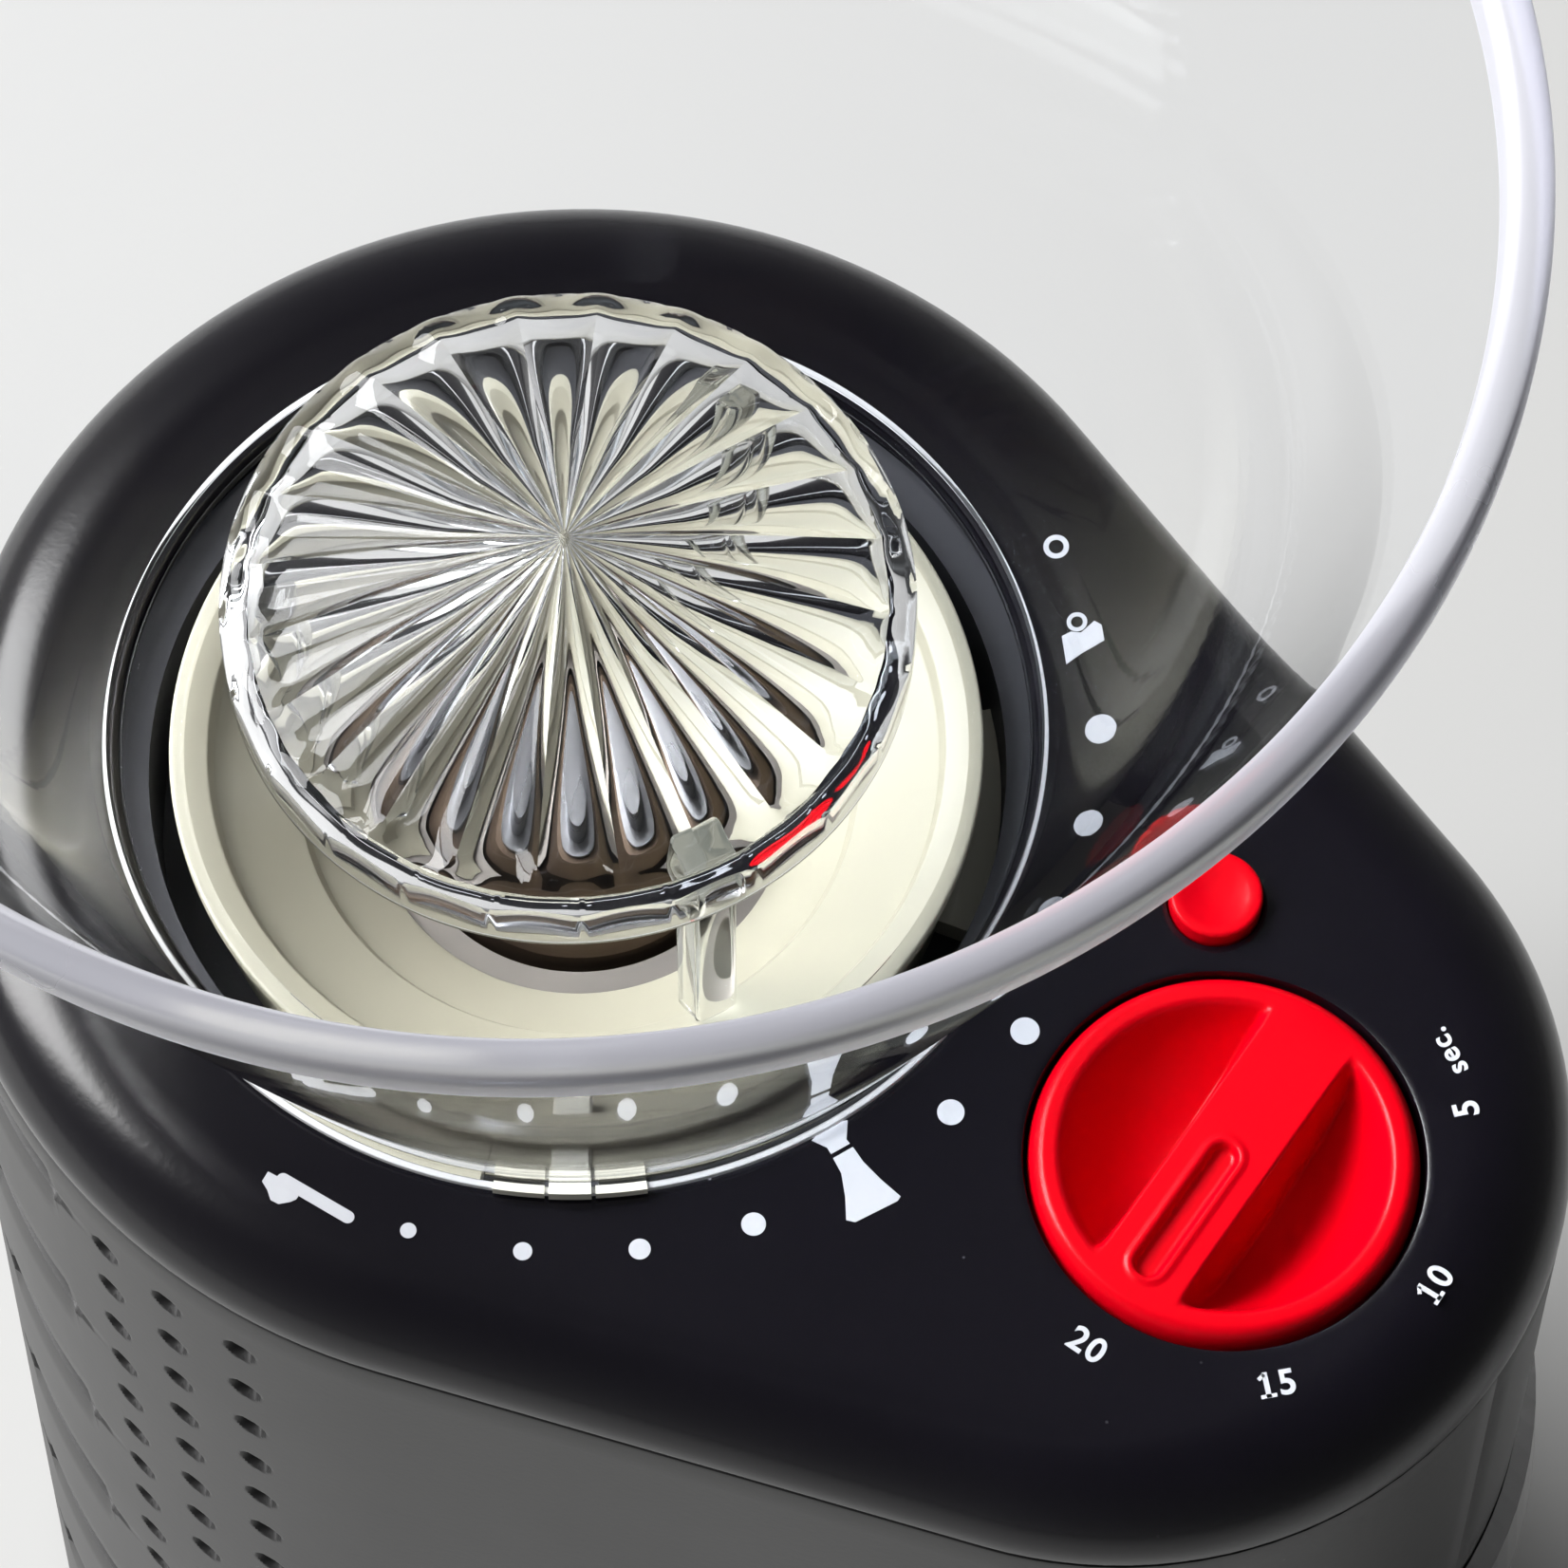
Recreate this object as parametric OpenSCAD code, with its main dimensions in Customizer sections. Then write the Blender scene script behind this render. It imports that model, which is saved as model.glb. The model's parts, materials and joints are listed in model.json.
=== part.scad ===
// Electric conical burr coffee grinder, hopper open
// Millimetres, +Z up, origin under the middle of the machine on the table

/* [Body] */
// Height of the top deck above the table
deck_h = 175; // [165:1:190]
// Radius of the wide end of the egg outline, at the parting line
back_r = 51; // [50:0.5:56]
// Radius of the narrow end of the egg outline, at the parting line
front_r = 35.5; // [34:0.5:38]
// Distance from the hopper axis to the middle of the narrow end
front_c = 50; // [48:1:54]
// Outward slope of the side wall, width gained per unit of drop
flare = 0.04; // [0.03:0.005:0.06]
// Wall thickness of the housing
wall = 2.5; // [2:0.1:3]
// Depth of the parting line below the deck
parting_drop = 7.2; // [6.8:0.1:8]
// Height of the deck's rounded shoulder
shoulder_drop = 6.8; // [5:0.2:7]
// How far in from the edge the shoulder starts
shoulder_reach = 8.5; // [5:0.5:9]

/* [Hopper] */
// Outer radius of the hopper's rim
rim_r = 65; // [62:0.1:68]
// Height of the rim above the deck
hopper_h = 93.4; // [80:0.2:100]
// Outer radius of the ring that stands on the deck
skirt_r = 37.5; // [37:0.1:38]
// Wall thickness of the bowl
bowl_wall = 2.2; // [1.8:0.1:2.6]
// Outer radius of the burr guard
guard_r = 25.8; // [24:0.2:27]
// Height of the guard's crown above the deck
guard_h = 36; // [34:0.5:38]

/* [Grind setting] */
// Direction of the finest mark, degrees from the front
first_mark = -84; // [-90:1:-80]
// Angle between neighbouring marks
mark_step = 12; // [11:0.5:12.5]
// Mark that the pointer shows, counted from the finest
rest_mark = 2.4; // [0:0.1:11]

/* [Timer knob and start button] */
// Distance of the timer knob from the hopper axis
knob_x = 60; // [58:0.5:62]
// Radius of the timer knob
knob_r = 14.9; // [13:0.1:15]
// Height of the knob above the deck
knob_top = 0.8; // [0:0.1:3]
// Width of the knob's grip bar
bar_w = 6.8; // [6:0.5:8]
// Start button's place ahead of the hopper axis
button_x = 47.9; // [47:0.1:49]
// Start button's place to the side
button_y = 17.3; // [16.5:0.1:18]
// Radius of the start button
button_r = 3.6; // [3:0.1:3.6]

/* [Burrs] */
// Outer radius of the ring burr
ring_burr_r = 21; // [20:0.5:21]
// Largest radius of the cone burr
cone_burr_r = 18.6; // [17:0.1:18.6]
// Number of grooves in the cone burr
burr_grooves = 10; // [6:1:16]

/* [Drive] */
// Distance of the motor axis behind the hopper axis
motor_back = 18; // [17:0.5:19]
// Outer radius of the motor can
motor_r = 23.5; // [22:0.5:24]

/* [Catcher jar] */
// Distance of the jar's axis from the hopper axis
jar_x = 58; // [57:0.5:59]
// Outer radius of the jar
jar_r = 30; // [28:0.5:30.5]
// Height of the jar's mouth above the table
jar_h = 92; // [80:1:94]

/* [Hidden] */
$fn = 96;

parting_h = deck_h - parting_drop;
housing_bottom = 2;
hood_top = 118;
bay_top = 104;
front_floor = 6;
bay_r = jar_r + 1.8;
liner_wall = 1.8;
seam_gap = 0.4;

shaft_gap = 0.05;
slide_gap = 0.1;
joint_gap = 0.3;

pinion_teeth = 17;
wheel_teeth = 60;
first_module = 0.6;
small_teeth = 17;
output_teeth = 51;
second_module = 0.8;
pressure_angle = 20;
tooth_backlash = 0.35;
first_distance = first_module * (pinion_teeth + wheel_teeth) / 2;
second_distance = second_module * (small_teeth + output_teeth) / 2;
idler_x = -(second_distance ^ 2 - first_distance ^ 2 + motor_back ^ 2) / (2 * motor_back);
idler_y = sqrt(second_distance ^ 2 - idler_x ^ 2);
to_idler = atan2(idler_y, idler_x + motor_back);
to_output = atan2(-idler_y, -idler_x);

box_floor = 110;
box_top = 134;
cover_top = 137;
pinion_low = 115;
wheel_h = 6.5;
small_h = 10;
output_low = 124;
output_h = 7;
drive_r = 4;
motor_shaft_r = 2.5;
idler_pin_r = 2;

chamber_floor = 143;
chamber_r = 29;
collar_r = 39;
collar_low = 160;
collar_top = 171.5;
ring_r = 36.4;
carrier_r = 33.5;
tube_r = 30.4;
carrier_low = 164;
lug_angles = [30, 150, 270];
lug_w = 20;
tab_angle = -83;
tab_w = 20;
lip_angle = -55;
lip_r = 34.1;
burr_low = 150;
burr_top = 163;
funnel_mouth = 30.5;
funnel_throat = 16.5;
funnel_low = burr_top + 1.5;
funnel_high = deck_h + 1.2;
well_r = 36.9;
inner_reach = shoulder_reach - 1.5;
inner_drop = shoulder_drop - 2.3;

board_low = 156;
board_t = 1.6;
board_top = board_low + board_t;
plunger_h = 3;
press_depth = 1.5;
flange_low = deck_h - 7.1;
flange_t = 1.3;
spring_r = 2.6;
spring_wire = 0.4;
spring_turns = 4;
timer_r = 2.5;
knob_low = deck_h - 8.6;
pocket_low = knob_low - 0.4;
pocket_base = pocket_low - 1.5;
pointer_angle = first_mark + mark_step * rest_mark;

leg_angles = [-27.7, 92.3, 212.3];
leg_w = 3.6;
deck_screw_angles = [60, 180, 300];
deck_screw_r = 43.2;
foot_places = [[-37.5, 29.5], [-37.5, -29.5], [64, 29], [64, -29]];
base_screw_places = [[-46.7, 21.8], [-46.7, -21.8], [27, 45.3], [27, -45.3]];
box_screw_places = [[21, 15], [21, -15], [-32, -8]];
chamber_post_places = [[0, 20], [-17.3, -10], [17.3, -10]];
cradle_angles = [90, 210, 330];

// Egg outline: two cones whose flare follows the side wall
function back_at(z) = back_r + flare * (parting_h - z);
function front_at(z) = front_r + flare * (parting_h - z);

// Surface of the carrier's funnel, on which the guard's legs stand
function funnel_at(radius) =
    let (slope = (funnel_high - funnel_low) / (funnel_mouth - funnel_throat))
    funnel_low + slope * (radius - funnel_throat) + 0.1;

// Hopper axis, set so that the whole machine sits about the origin
front_reach = front_c + front_at(housing_bottom);
hopper_x = (rim_r - front_reach) / 2;

module from_axis(x = 0, y = 0, z = 0) {
    translate([hopper_x + x, y, z]) children();
}

module egg_slab(low, high, inset = 0) {
    hull() {
        from_axis(0, 0, low)
            cylinder(h = high - low, r1 = back_at(low) - inset, r2 = back_at(high) - inset);
        from_axis(front_c, 0, low)
            cylinder(h = high - low, r1 = front_at(low) - inset, r2 = front_at(high) - inset);
    }
}

module ring(outer, inner, low, high) {
    translate([0, 0, low])
        difference() {
            cylinder(h = high - low, r = outer);
            translate([0, 0, -1]) cylinder(h = high - low + 2, r = inner);
        }
}

module post(radius, low, high) {
    translate([0, 0, low]) cylinder(h = high - low, r = radius);
}

module screw(head_r, shank_r, low, head_h, length) {
    post(head_r, low, low + head_h);
    post(shank_r, low + head_h, low + length);
}

// Disc with its upper edge rounded, further in than down where drop is given
module rounded_disc(radius, low, high, reach, drop = undef) {
    fall = is_undef(drop) ? reach : drop;
    rotate_extrude()
        polygon(concat(
            [[0, low], [radius, low]],
            [for (a = [0:10:90]) [radius - reach + reach * cos(a), high - fall + fall * sin(a)]],
            [[0, high]]));
}

// Involute spur gear with a tooth centred on angle zero
function roll(radius, base) =
    radius <= base ? 0 : sqrt((radius / base) ^ 2 - 1) * 180 / PI - acos(base / radius);

function tooth_side(teeth, size, radius) =
    let (pitch = teeth * size / 2, base = pitch * cos(pressure_angle))
    90 / teeth - tooth_backlash * size / pitch * 45 / PI + roll(pitch, base) - roll(radius, base);

function gear_outline(teeth, size) =
    let (
        pitch = teeth * size / 2,
        tip = pitch + 0.85 * size,
        root = pitch - 1.1 * size,
        steps = [root, pitch - 0.45 * size, pitch, pitch + 0.45 * size, tip],
        last = len(steps) - 1)
    [for (tooth = [0:teeth - 1], k = [0:2 * last + 1])
        let (
            radius = k <= last ? steps[k] : steps[2 * last + 1 - k],
            side = tooth_side(teeth, size, radius),
            angle = tooth * 360 / teeth + (k <= last ? -side : side))
        [radius * cos(angle), radius * sin(angle)]];

module spur_gear(teeth, size, height, bore, turn) {
    difference() {
        rotate(turn) linear_extrude(height) polygon(gear_outline(teeth, size));
        translate([0, 0, -1]) cylinder(h = height + 2, r = bore);
    }
}

module gearbox_outline(grow) {
    circle(r = 24 + grow);
    translate([idler_x, idler_y]) circle(r = 20 + grow);
    translate([-motor_back, 0]) circle(r = 12 + grow);
    for (place = box_screw_places) translate(place) circle(r = 3 + grow);
}

module bay_outline(radius) {
    translate([jar_x, 0]) {
        circle(r = radius);
        translate([0, -radius]) square([radius, 2 * radius]);
    }
}

// Base

module base_plate() {
    color([0.11, 0.11, 0.12])
        difference() {
            egg_slab(housing_bottom, front_floor, wall + 0.2);
            for (place = foot_places) from_axis(place.x, place.y) post(7.05, 0, 3.5);
            for (place = base_screw_places) from_axis(place.x, place.y) post(1.6, 0, 10);
            for (place = base_screw_places) from_axis(place.x, place.y) post(3, 0, 4);
            for (slot = [-3:3]) from_axis(-motor_back + slot * 5, 0, 4) cube([2, 24, 10], center = true);
        }
}

module rubber_feet() {
    color([0.07, 0.07, 0.07])
        for (place = foot_places) from_axis(place.x, place.y) post(7, 0, 3.5);
}

module base_screws() {
    color([0.6, 0.6, 0.62])
        for (place = base_screw_places) from_axis(place.x, place.y) screw(2.8, 1.5, 2.4, 1.6, 12);
}

// Housing halves, which meet on the nose and at the back

module housing() {
    difference() {
        union() {
            difference() {
                egg_slab(housing_bottom, parting_h - seam_gap);
                egg_slab(housing_bottom - 1, parting_h + 1, wall);
            }
            for (place = base_screw_places) from_axis(place.x, place.y) post(4.2, 6.1, 18);
        }
        for (place = base_screw_places) from_axis(place.x, place.y) post(1.6, 0, 15);
        translate([hopper_x, 0, front_floor])
            linear_extrude(bay_top - front_floor) bay_outline(bay_r);
        translate([hopper_x + jar_x, -bay_r, front_floor])
            cube([60, 2 * bay_r, bay_top - front_floor]);
        from_axis(-back_at(22), 0, 22) rotate([0, 90, 0]) cylinder(h = 30, r = 5.05, center = true);
    }
}

module half_space(side) {
    translate([-150, side < 0 ? -150 : 0, -1]) cube([300, 150, deck_h + 2]);
}

module left_housing() {
    color([0.16, 0.16, 0.17])
        intersection() {
            housing();
            half_space(-1);
        }
}

module right_housing() {
    color([0.16, 0.16, 0.17])
        intersection() {
            housing();
            half_space(1);
        }
}

// Gloss trim over the jar bay, proud of the nose
module hood_trim() {
    hood_x = front_c + 3;
    hood_low_r = front_at(hood_top) - 1.2 + 0.09 * (hood_top - bay_top);
    hood_high_r = front_at(hood_top) - 1.2;
    edge = 3;
    color([0.03, 0.03, 0.03])
        difference() {
            union() {
                from_axis(hood_x, 0, bay_top)
                    cylinder(h = hood_top - bay_top - edge, r1 = hood_low_r, r2 = hood_high_r + 0.1);
                from_axis(hood_x, 0, hood_top - edge)
                    cylinder(h = edge, r1 = hood_high_r + 0.1, r2 = hood_high_r - 1.6);
            }
            egg_slab(bay_top - 1, hood_top + 1, -0.02);
            translate([hopper_x - 40, -60, bay_top - 1]) cube([40 + hood_x, 120, 60]);
        }
}

// Wall and ceiling of the bay that holds the jar
module bay_liner() {
    color([0.10, 0.10, 0.11])
        intersection() {
            difference() {
                translate([hopper_x, 0, front_floor + 0.05])
                    linear_extrude(bay_top + 2 - front_floor) bay_outline(bay_r + liner_wall);
                translate([hopper_x, 0, front_floor - 1])
                    linear_extrude(bay_top - front_floor + 1) bay_outline(bay_r);
                from_axis(jar_x, 0, bay_top - 1) translate([-6.4, -9.5, 0]) cube([12.8, 19, 10]);
            }
            egg_slab(front_floor - 2, bay_top + 5, wall + 0.05);
        }
}

// Deck

module top_deck() {
    color([0.10, 0.10, 0.11])
        difference() {
            union() {
                difference() {
                    hull() {
                        from_axis() rounded_disc(back_r, parting_h, deck_h, shoulder_reach, shoulder_drop);
                        from_axis(front_c)
                            rounded_disc(front_r, parting_h, deck_h, shoulder_reach, shoulder_drop);
                    }
                    hull() {
                        from_axis()
                            rounded_disc(back_r - wall, parting_h - 1, deck_h - wall, inner_reach, inner_drop);
                        from_axis(front_c)
                            rounded_disc(front_r - wall, parting_h - 1, deck_h - wall, inner_reach, inner_drop);
                    }
                }
                difference() {
                    egg_slab(parting_h - 3, parting_h + 2.5, wall + 0.15);
                    egg_slab(parting_h - 4, parting_h + 3.5, wall + 1.6);
                }
                from_axis(knob_x) post(knob_r + 1.9, pocket_base, deck_h - 1);
                from_axis(button_x, button_y) post(button_r + 1.1, deck_h - 5.5, deck_h - 1);
                for (a = deck_screw_angles)
                    from_axis(deck_screw_r * cos(a), deck_screw_r * sin(a))
                        post(3.4, collar_low + 3, deck_h - 1);
            }
            from_axis() post(well_r, parting_h - 10, deck_h + 1);
            from_axis() post(collar_r + slide_gap, parting_h - 10, collar_top + slide_gap);
            from_axis(knob_x) post(knob_r + joint_gap, pocket_low, deck_h + 1);
            from_axis(knob_x) post(timer_r + shaft_gap, deck_h - 20, deck_h);
            from_axis(button_x, button_y) post(button_r + slide_gap, deck_h - 20, deck_h + 1);
            for (a = deck_screw_angles)
                from_axis(deck_screw_r * cos(a), deck_screw_r * sin(a)) post(1.55, 150, 170.5);
        }
}

module deck_screws() {
    color([0.6, 0.6, 0.62])
        for (a = deck_screw_angles)
            from_axis(deck_screw_r * cos(a), deck_screw_r * sin(a)) screw(2.9, 1.5, 157.4, 2.6, 12.4);
}

// Grinding chamber and the way down to the jar

module grind_chamber() {
    color([0.20, 0.20, 0.21])
        from_axis()
            difference() {
                union() {
                    ring(chamber_r, drive_r + 0.6, chamber_floor, chamber_floor + 2.4);
                    ring(chamber_r, chamber_r - 2, chamber_floor, collar_low + 0.5);
                    ring(collar_r, chamber_r - 2, collar_low - 1.5, collar_low + 0.5);
                    ring(collar_r, ring_r + slide_gap, collar_low - 1.5, collar_top);
                    for (a = deck_screw_angles)
                        rotate(a) translate([deck_screw_r, 0]) post(4.6, collar_low, collar_low + 3);
                }
                for (a = deck_screw_angles)
                    rotate(a) translate([deck_screw_r, 0]) post(1.55, collar_low - 4, collar_low + 5);
                translate([20, -9.5, chamber_floor + 2.4]) cube([20, 19, 12]);
            }
}

module chute() {
    outer = [[29.1, 143], [29.1, 158.4], [37.6, 158.4], [66, 118], [66, 107.2], [50, 107.2], [50, 114]];
    inner = [[28, 145.4], [28, 157.2], [37, 157.2], [64.4, 117.4], [64.4, 100], [51.6, 100],
        [51.6, 114.6], [31, 145.4]];
    color([0.22, 0.22, 0.23])
        from_axis()
            rotate([90, 0, 0])
                difference() {
                    translate([0, 0, -11]) linear_extrude(22) polygon(outer);
                    translate([0, 0, -9.5]) linear_extrude(19) polygon(inner);
                }
}

module chute_gasket() {
    color([0.05, 0.05, 0.05])
        from_axis(jar_x, 0, bay_top + 2.1)
            difference() {
                translate([-8, -11, 0]) cube([16, 22, 1]);
                translate([-6.4, -9.5, -1]) cube([12.8, 19, 3]);
            }
}

// Gearbox

module gearbox_housing() {
    color([0.30, 0.30, 0.32])
        translate([hopper_x, 0, 0])
            difference() {
                translate([0, 0, box_floor]) linear_extrude(box_top - box_floor) gearbox_outline(1.5);
                difference() {
                    translate([0, 0, box_floor + 2.5])
                        linear_extrude(box_top - box_floor) gearbox_outline(0);
                    for (place = box_screw_places) translate(place) post(3, box_floor, box_top);
                }
                for (place = box_screw_places) translate(place) post(1.3, box_floor + 8, box_top + 1);
                translate([-motor_back, 0]) post(6, box_floor - 1, box_floor + 5);
                translate([idler_x, idler_y]) post(idler_pin_r, box_floor - 1, box_floor + 5);
                post(7, box_floor - 1, box_floor + 5);
            }
}

module gearbox_cover() {
    color([0.33, 0.33, 0.35])
        translate([hopper_x, 0, 0])
            difference() {
                union() {
                    translate([0, 0, box_top]) linear_extrude(cover_top - box_top) gearbox_outline(1.5);
                    for (place = chamber_post_places) translate(place) post(3, box_top, chamber_floor);
                }
                for (place = box_screw_places) translate(place) post(1.35, box_top - 1, cover_top + 1);
                translate([idler_x, idler_y]) post(idler_pin_r, box_top - 1, box_top + 2);
                post(9, box_top - 1, cover_top + 1);
            }
}

module gearbox_screws() {
    color([0.65, 0.65, 0.67])
        translate([hopper_x, 0, 0])
            for (place = box_screw_places)
                translate(place) {
                    post(2.4, cover_top, cover_top + 1.6);
                    post(1.25, box_top - 10, cover_top);
                }
}

module output_bearing() {
    color([0.7, 0.7, 0.72])
        from_axis() ring(9, drive_r + shaft_gap, box_top - 0.5, cover_top);
}

module output_bushing() {
    color([0.72, 0.55, 0.3])
        from_axis() ring(7, drive_r + shaft_gap, box_floor, box_floor + 4);
}

module idler_pin() {
    color([0.7, 0.7, 0.72])
        from_axis(idler_x, idler_y) post(idler_pin_r, box_floor, box_top + 2);
}

// Motor

module motor_can() {
    color([0.55, 0.56, 0.58])
        from_axis(-motor_back)
            difference() {
                union() {
                    ring(motor_r, motor_r - 1.2, 50, 108);
                    ring(motor_r, motor_shaft_r + shaft_gap, 108, box_floor);
                }
                for (a = [0:45:315]) rotate(a) translate([16, 0]) post(2.6, 107, 111);
            }
}

module stator() {
    color([0.45, 0.28, 0.16])
        from_axis(-motor_back) {
            ring(motor_r - 1.25, 17, 62, 93);
            for (side = [0, 180])
                rotate(side) translate([19.6, 0]) post(2.6, 57, 98);
        }
}

module end_bell() {
    color([0.13, 0.13, 0.14])
        from_axis(-motor_back)
            difference() {
                union() {
                    ring(motor_r, motor_shaft_r + shaft_gap, 46, 49.9);
                    ring(motor_r - 1.3, 19, 49.9, 54);
                    ring(7, motor_shaft_r + shaft_gap, 44.5, 46);
                }
                for (a = [30:60:330]) rotate(a) translate([14, 0]) post(2.5, 45, 51);
            }
}

module brush_holders() {
    color([0.72, 0.6, 0.35])
        from_axis(-motor_back)
            for (side = [0, 180])
                rotate(side + 90) translate([8.4, -2.5, 49.9]) cube([10, 5, 6.5]);
}

module motor_cradle() {
    color([0.18, 0.18, 0.19])
        from_axis(-motor_back)
            difference() {
                union() {
                    ring(25.5, 10, 36, 40);
                    ring(25.5, motor_r + 0.3, 39, 54);
                    for (a = cradle_angles) rotate(a) translate([21, 0]) post(4, front_floor, 36.5);
                }
                for (a = cradle_angles) rotate(a) translate([21, 0]) post(1.5, 0, 20);
            }
}

module motor_damper() {
    color([0.06, 0.06, 0.06])
        from_axis(-motor_back) ring(motor_r - 0.5, 14, 40, 46);
}

module armature() {
    color([0.5, 0.42, 0.34])
        from_axis(-motor_back)
            difference() {
                union() {
                    post(16.4, 64, 91);
                    post(12.5, 60, 95);
                }
                post(motor_shaft_r, 50, 100);
                for (a = [0:30:330])
                    rotate(a) translate([15.6, -0.9, 63.9]) cube([2, 1.8, 27.2]);
            }
}

module commutator() {
    color([0.75, 0.48, 0.25])
        from_axis(-motor_back) ring(8, motor_shaft_r, 50.5, 58.5);
}

module motor_shaft() {
    color([0.7, 0.7, 0.72])
        from_axis(-motor_back) post(motor_shaft_r, 41, 122.5);
}

module motor_pinion() {
    color([0.72, 0.6, 0.35])
        from_axis(-motor_back, 0, pinion_low)
            spur_gear(pinion_teeth, first_module, wheel_h + 0.5, motor_shaft_r, to_idler);
}

module cooling_fan() {
    color([0.15, 0.15, 0.16])
        from_axis(-motor_back)
            difference() {
                union() {
                    ring(19.5, motor_shaft_r, 99.5, 101);
                    ring(6, motor_shaft_r, 99.5, 105.5);
                    for (a = [0:40:320]) rotate(a) translate([5, -0.6, 100.5]) cube([14, 1.2, 4.5]);
                }
                post(motor_shaft_r, 90, 110);
            }
}

// Gears

module idler_gear() {
    color([0.86, 0.84, 0.78])
        from_axis(idler_x, idler_y) {
            translate([0, 0, pinion_low])
                spur_gear(wheel_teeth, first_module, wheel_h, idler_pin_r + shaft_gap,
                    to_idler + 180 + 180 / wheel_teeth);
            translate([0, 0, pinion_low + wheel_h - 1])
                spur_gear(small_teeth, second_module, small_h + 1, idler_pin_r + shaft_gap, to_output);
        }
}

module output_gear() {
    color([0.62, 0.62, 0.64])
        from_axis(0, 0, output_low) {
            spur_gear(output_teeth, second_module, output_h, drive_r, to_output + 180 + 180 / output_teeth);
            ring(8, drive_r, -5, 0);
        }
}

module drive_shaft() {
    color([0.7, 0.7, 0.72])
        from_axis() post(drive_r, box_floor + 0.5, 167);
}

module sweeper() {
    color([0.9, 0.88, 0.82])
        from_axis() {
            ring(8, drive_r, chamber_floor + 2.8, burr_low - 1);
            ring(24.4, drive_r, chamber_floor + 2.8, chamber_floor + 4.2);
            for (a = [0:120:240])
                rotate(a) translate([22, -1, chamber_floor + 2.8]) cube([4.5, 2, 1.4]);
            for (a = [0:120:240])
                rotate(a) translate([25, -1, chamber_floor + 2.8]) cube([1.5, 2, 5]);
        }
}

// Burrs

module cone_burr() {
    color([0.62, 0.62, 0.64])
        from_axis()
            difference() {
                rotate_extrude()
                    polygon([[drive_r, 149], [cone_burr_r, 149], [cone_burr_r, 150.2], [12.9, burr_top],
                        [9.5, 166.8], [drive_r, 166.8]]);
                for (a = [0:360 / burr_grooves:359])
                    rotate([0, 0, a]) translate([cone_burr_r - 1.2, 0, 150]) rotate([-24, -21, 0])
                        translate([0, -0.9, -8]) cube([4, 1.8, 30]);
            }
}

module ring_burr() {
    color([0.6, 0.6, 0.62])
        from_axis()
            rotate_extrude()
                polygon([[19.3, burr_low], [ring_burr_r, burr_low], [ring_burr_r, burr_top],
                    [14.1, burr_top], [15.4, burr_top - 3.5]]);
}

module ring_burr_screws() {
    color([0.68, 0.68, 0.7])
        from_axis()
            for (a = [30:120:270])
                rotate(a) translate([22.5, 0]) screw(1.75, 0.85, 148.2, 1.3, 8);
}

module burr_bolt() {
    color([0.68, 0.68, 0.7])
        from_axis() {
            post(8, 167, 168);
            post(5.5, 168, 172);
        }
}

// Hopper and what comes away with it

module adjusting_ring() {
    color([0.14, 0.14, 0.15])
        from_axis() {
            ring(ring_r, carrier_r + slide_gap, collar_low + 1, collar_top + 0.4);
            rotate(pointer_angle) translate([ring_r - 2, -2, collar_top]) cube([1.9, 4, 2.6]);
        }
}

module burr_carrier() {
    color([0.93, 0.90, 0.80])
        from_axis()
            difference() {
                union() {
                    rotate_extrude()
                        polygon([[tube_r + 1.2, funnel_high], [tube_r + 1.2, funnel_high - 1.6],
                            [tube_r, funnel_high - 1.6], [tube_r, carrier_low], [tube_r - 2, carrier_low],
                            [tube_r - 2, 169.9], [24, 165.5], [24, 149.6], [21.1, 149.6],
                            [21.1, burr_top + 0.2], [funnel_throat, burr_top + 0.2],
                            [funnel_throat, funnel_low], [funnel_mouth, funnel_high]]);
                    intersection() {
                        ring(carrier_r, tube_r - 0.5, carrier_low, carrier_low + 2.5);
                        union() {
                            for (a = lug_angles)
                                rotate(a) translate([tube_r - 3, -lug_w / 2, carrier_low - 1])
                                    cube([8, lug_w, 5]);
                        }
                    }
                    intersection() {
                        ring(ring_r, tube_r + 0.2, deck_h - 1.8, deck_h);
                        rotate(tab_angle) translate([tube_r - 8, -tab_w / 2, deck_h - 3]) cube([18, tab_w, 5]);
                    }
                    intersection() {
                        ring(lip_r, tube_r + 0.3, deck_h - 1.6, deck_h - 0.1);
                        rotate(lip_angle) translate([0, 0, deck_h - 3])
                            linear_extrude(height = 5) polygon([[0, 0], [lip_r + 9, -lip_r - 9], [lip_r + 9, lip_r + 9]]);
                    }
                }
                for (a = [30:120:270])
                    rotate(a) translate([22.5, 0]) post(0.9, 140, 157);
            }
}

module hopper_bowl() {
    foot = deck_h + joint_gap;
    rim = deck_h + hopper_h;
    color([0.92, 0.94, 0.96, 0.35])
        from_axis() {
            rotate_extrude()
                polygon([[skirt_r, foot], [skirt_r, deck_h + 2], [skirt_r - 0.6, deck_h + 5],
                    [rim_r - 1.4, rim - 4.2], [rim_r, rim - 3.6], [rim_r, rim], [rim_r - 3.2, rim],
                    [rim_r - 1.4 - bowl_wall, rim - 4.2], [skirt_r - 2.9, deck_h + 6.2],
                    [32, deck_h + 4], [funnel_mouth, deck_h + 3], [funnel_mouth, deck_h + 1.4],
                    [skirt_r - 2.1, deck_h + 1.4], [skirt_r - 2.1, foot]]);
            rotate(pointer_angle) translate([skirt_r - 0.5, -1.4, foot]) cube([1.6, 2.8, 14]);
        }
}

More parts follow.
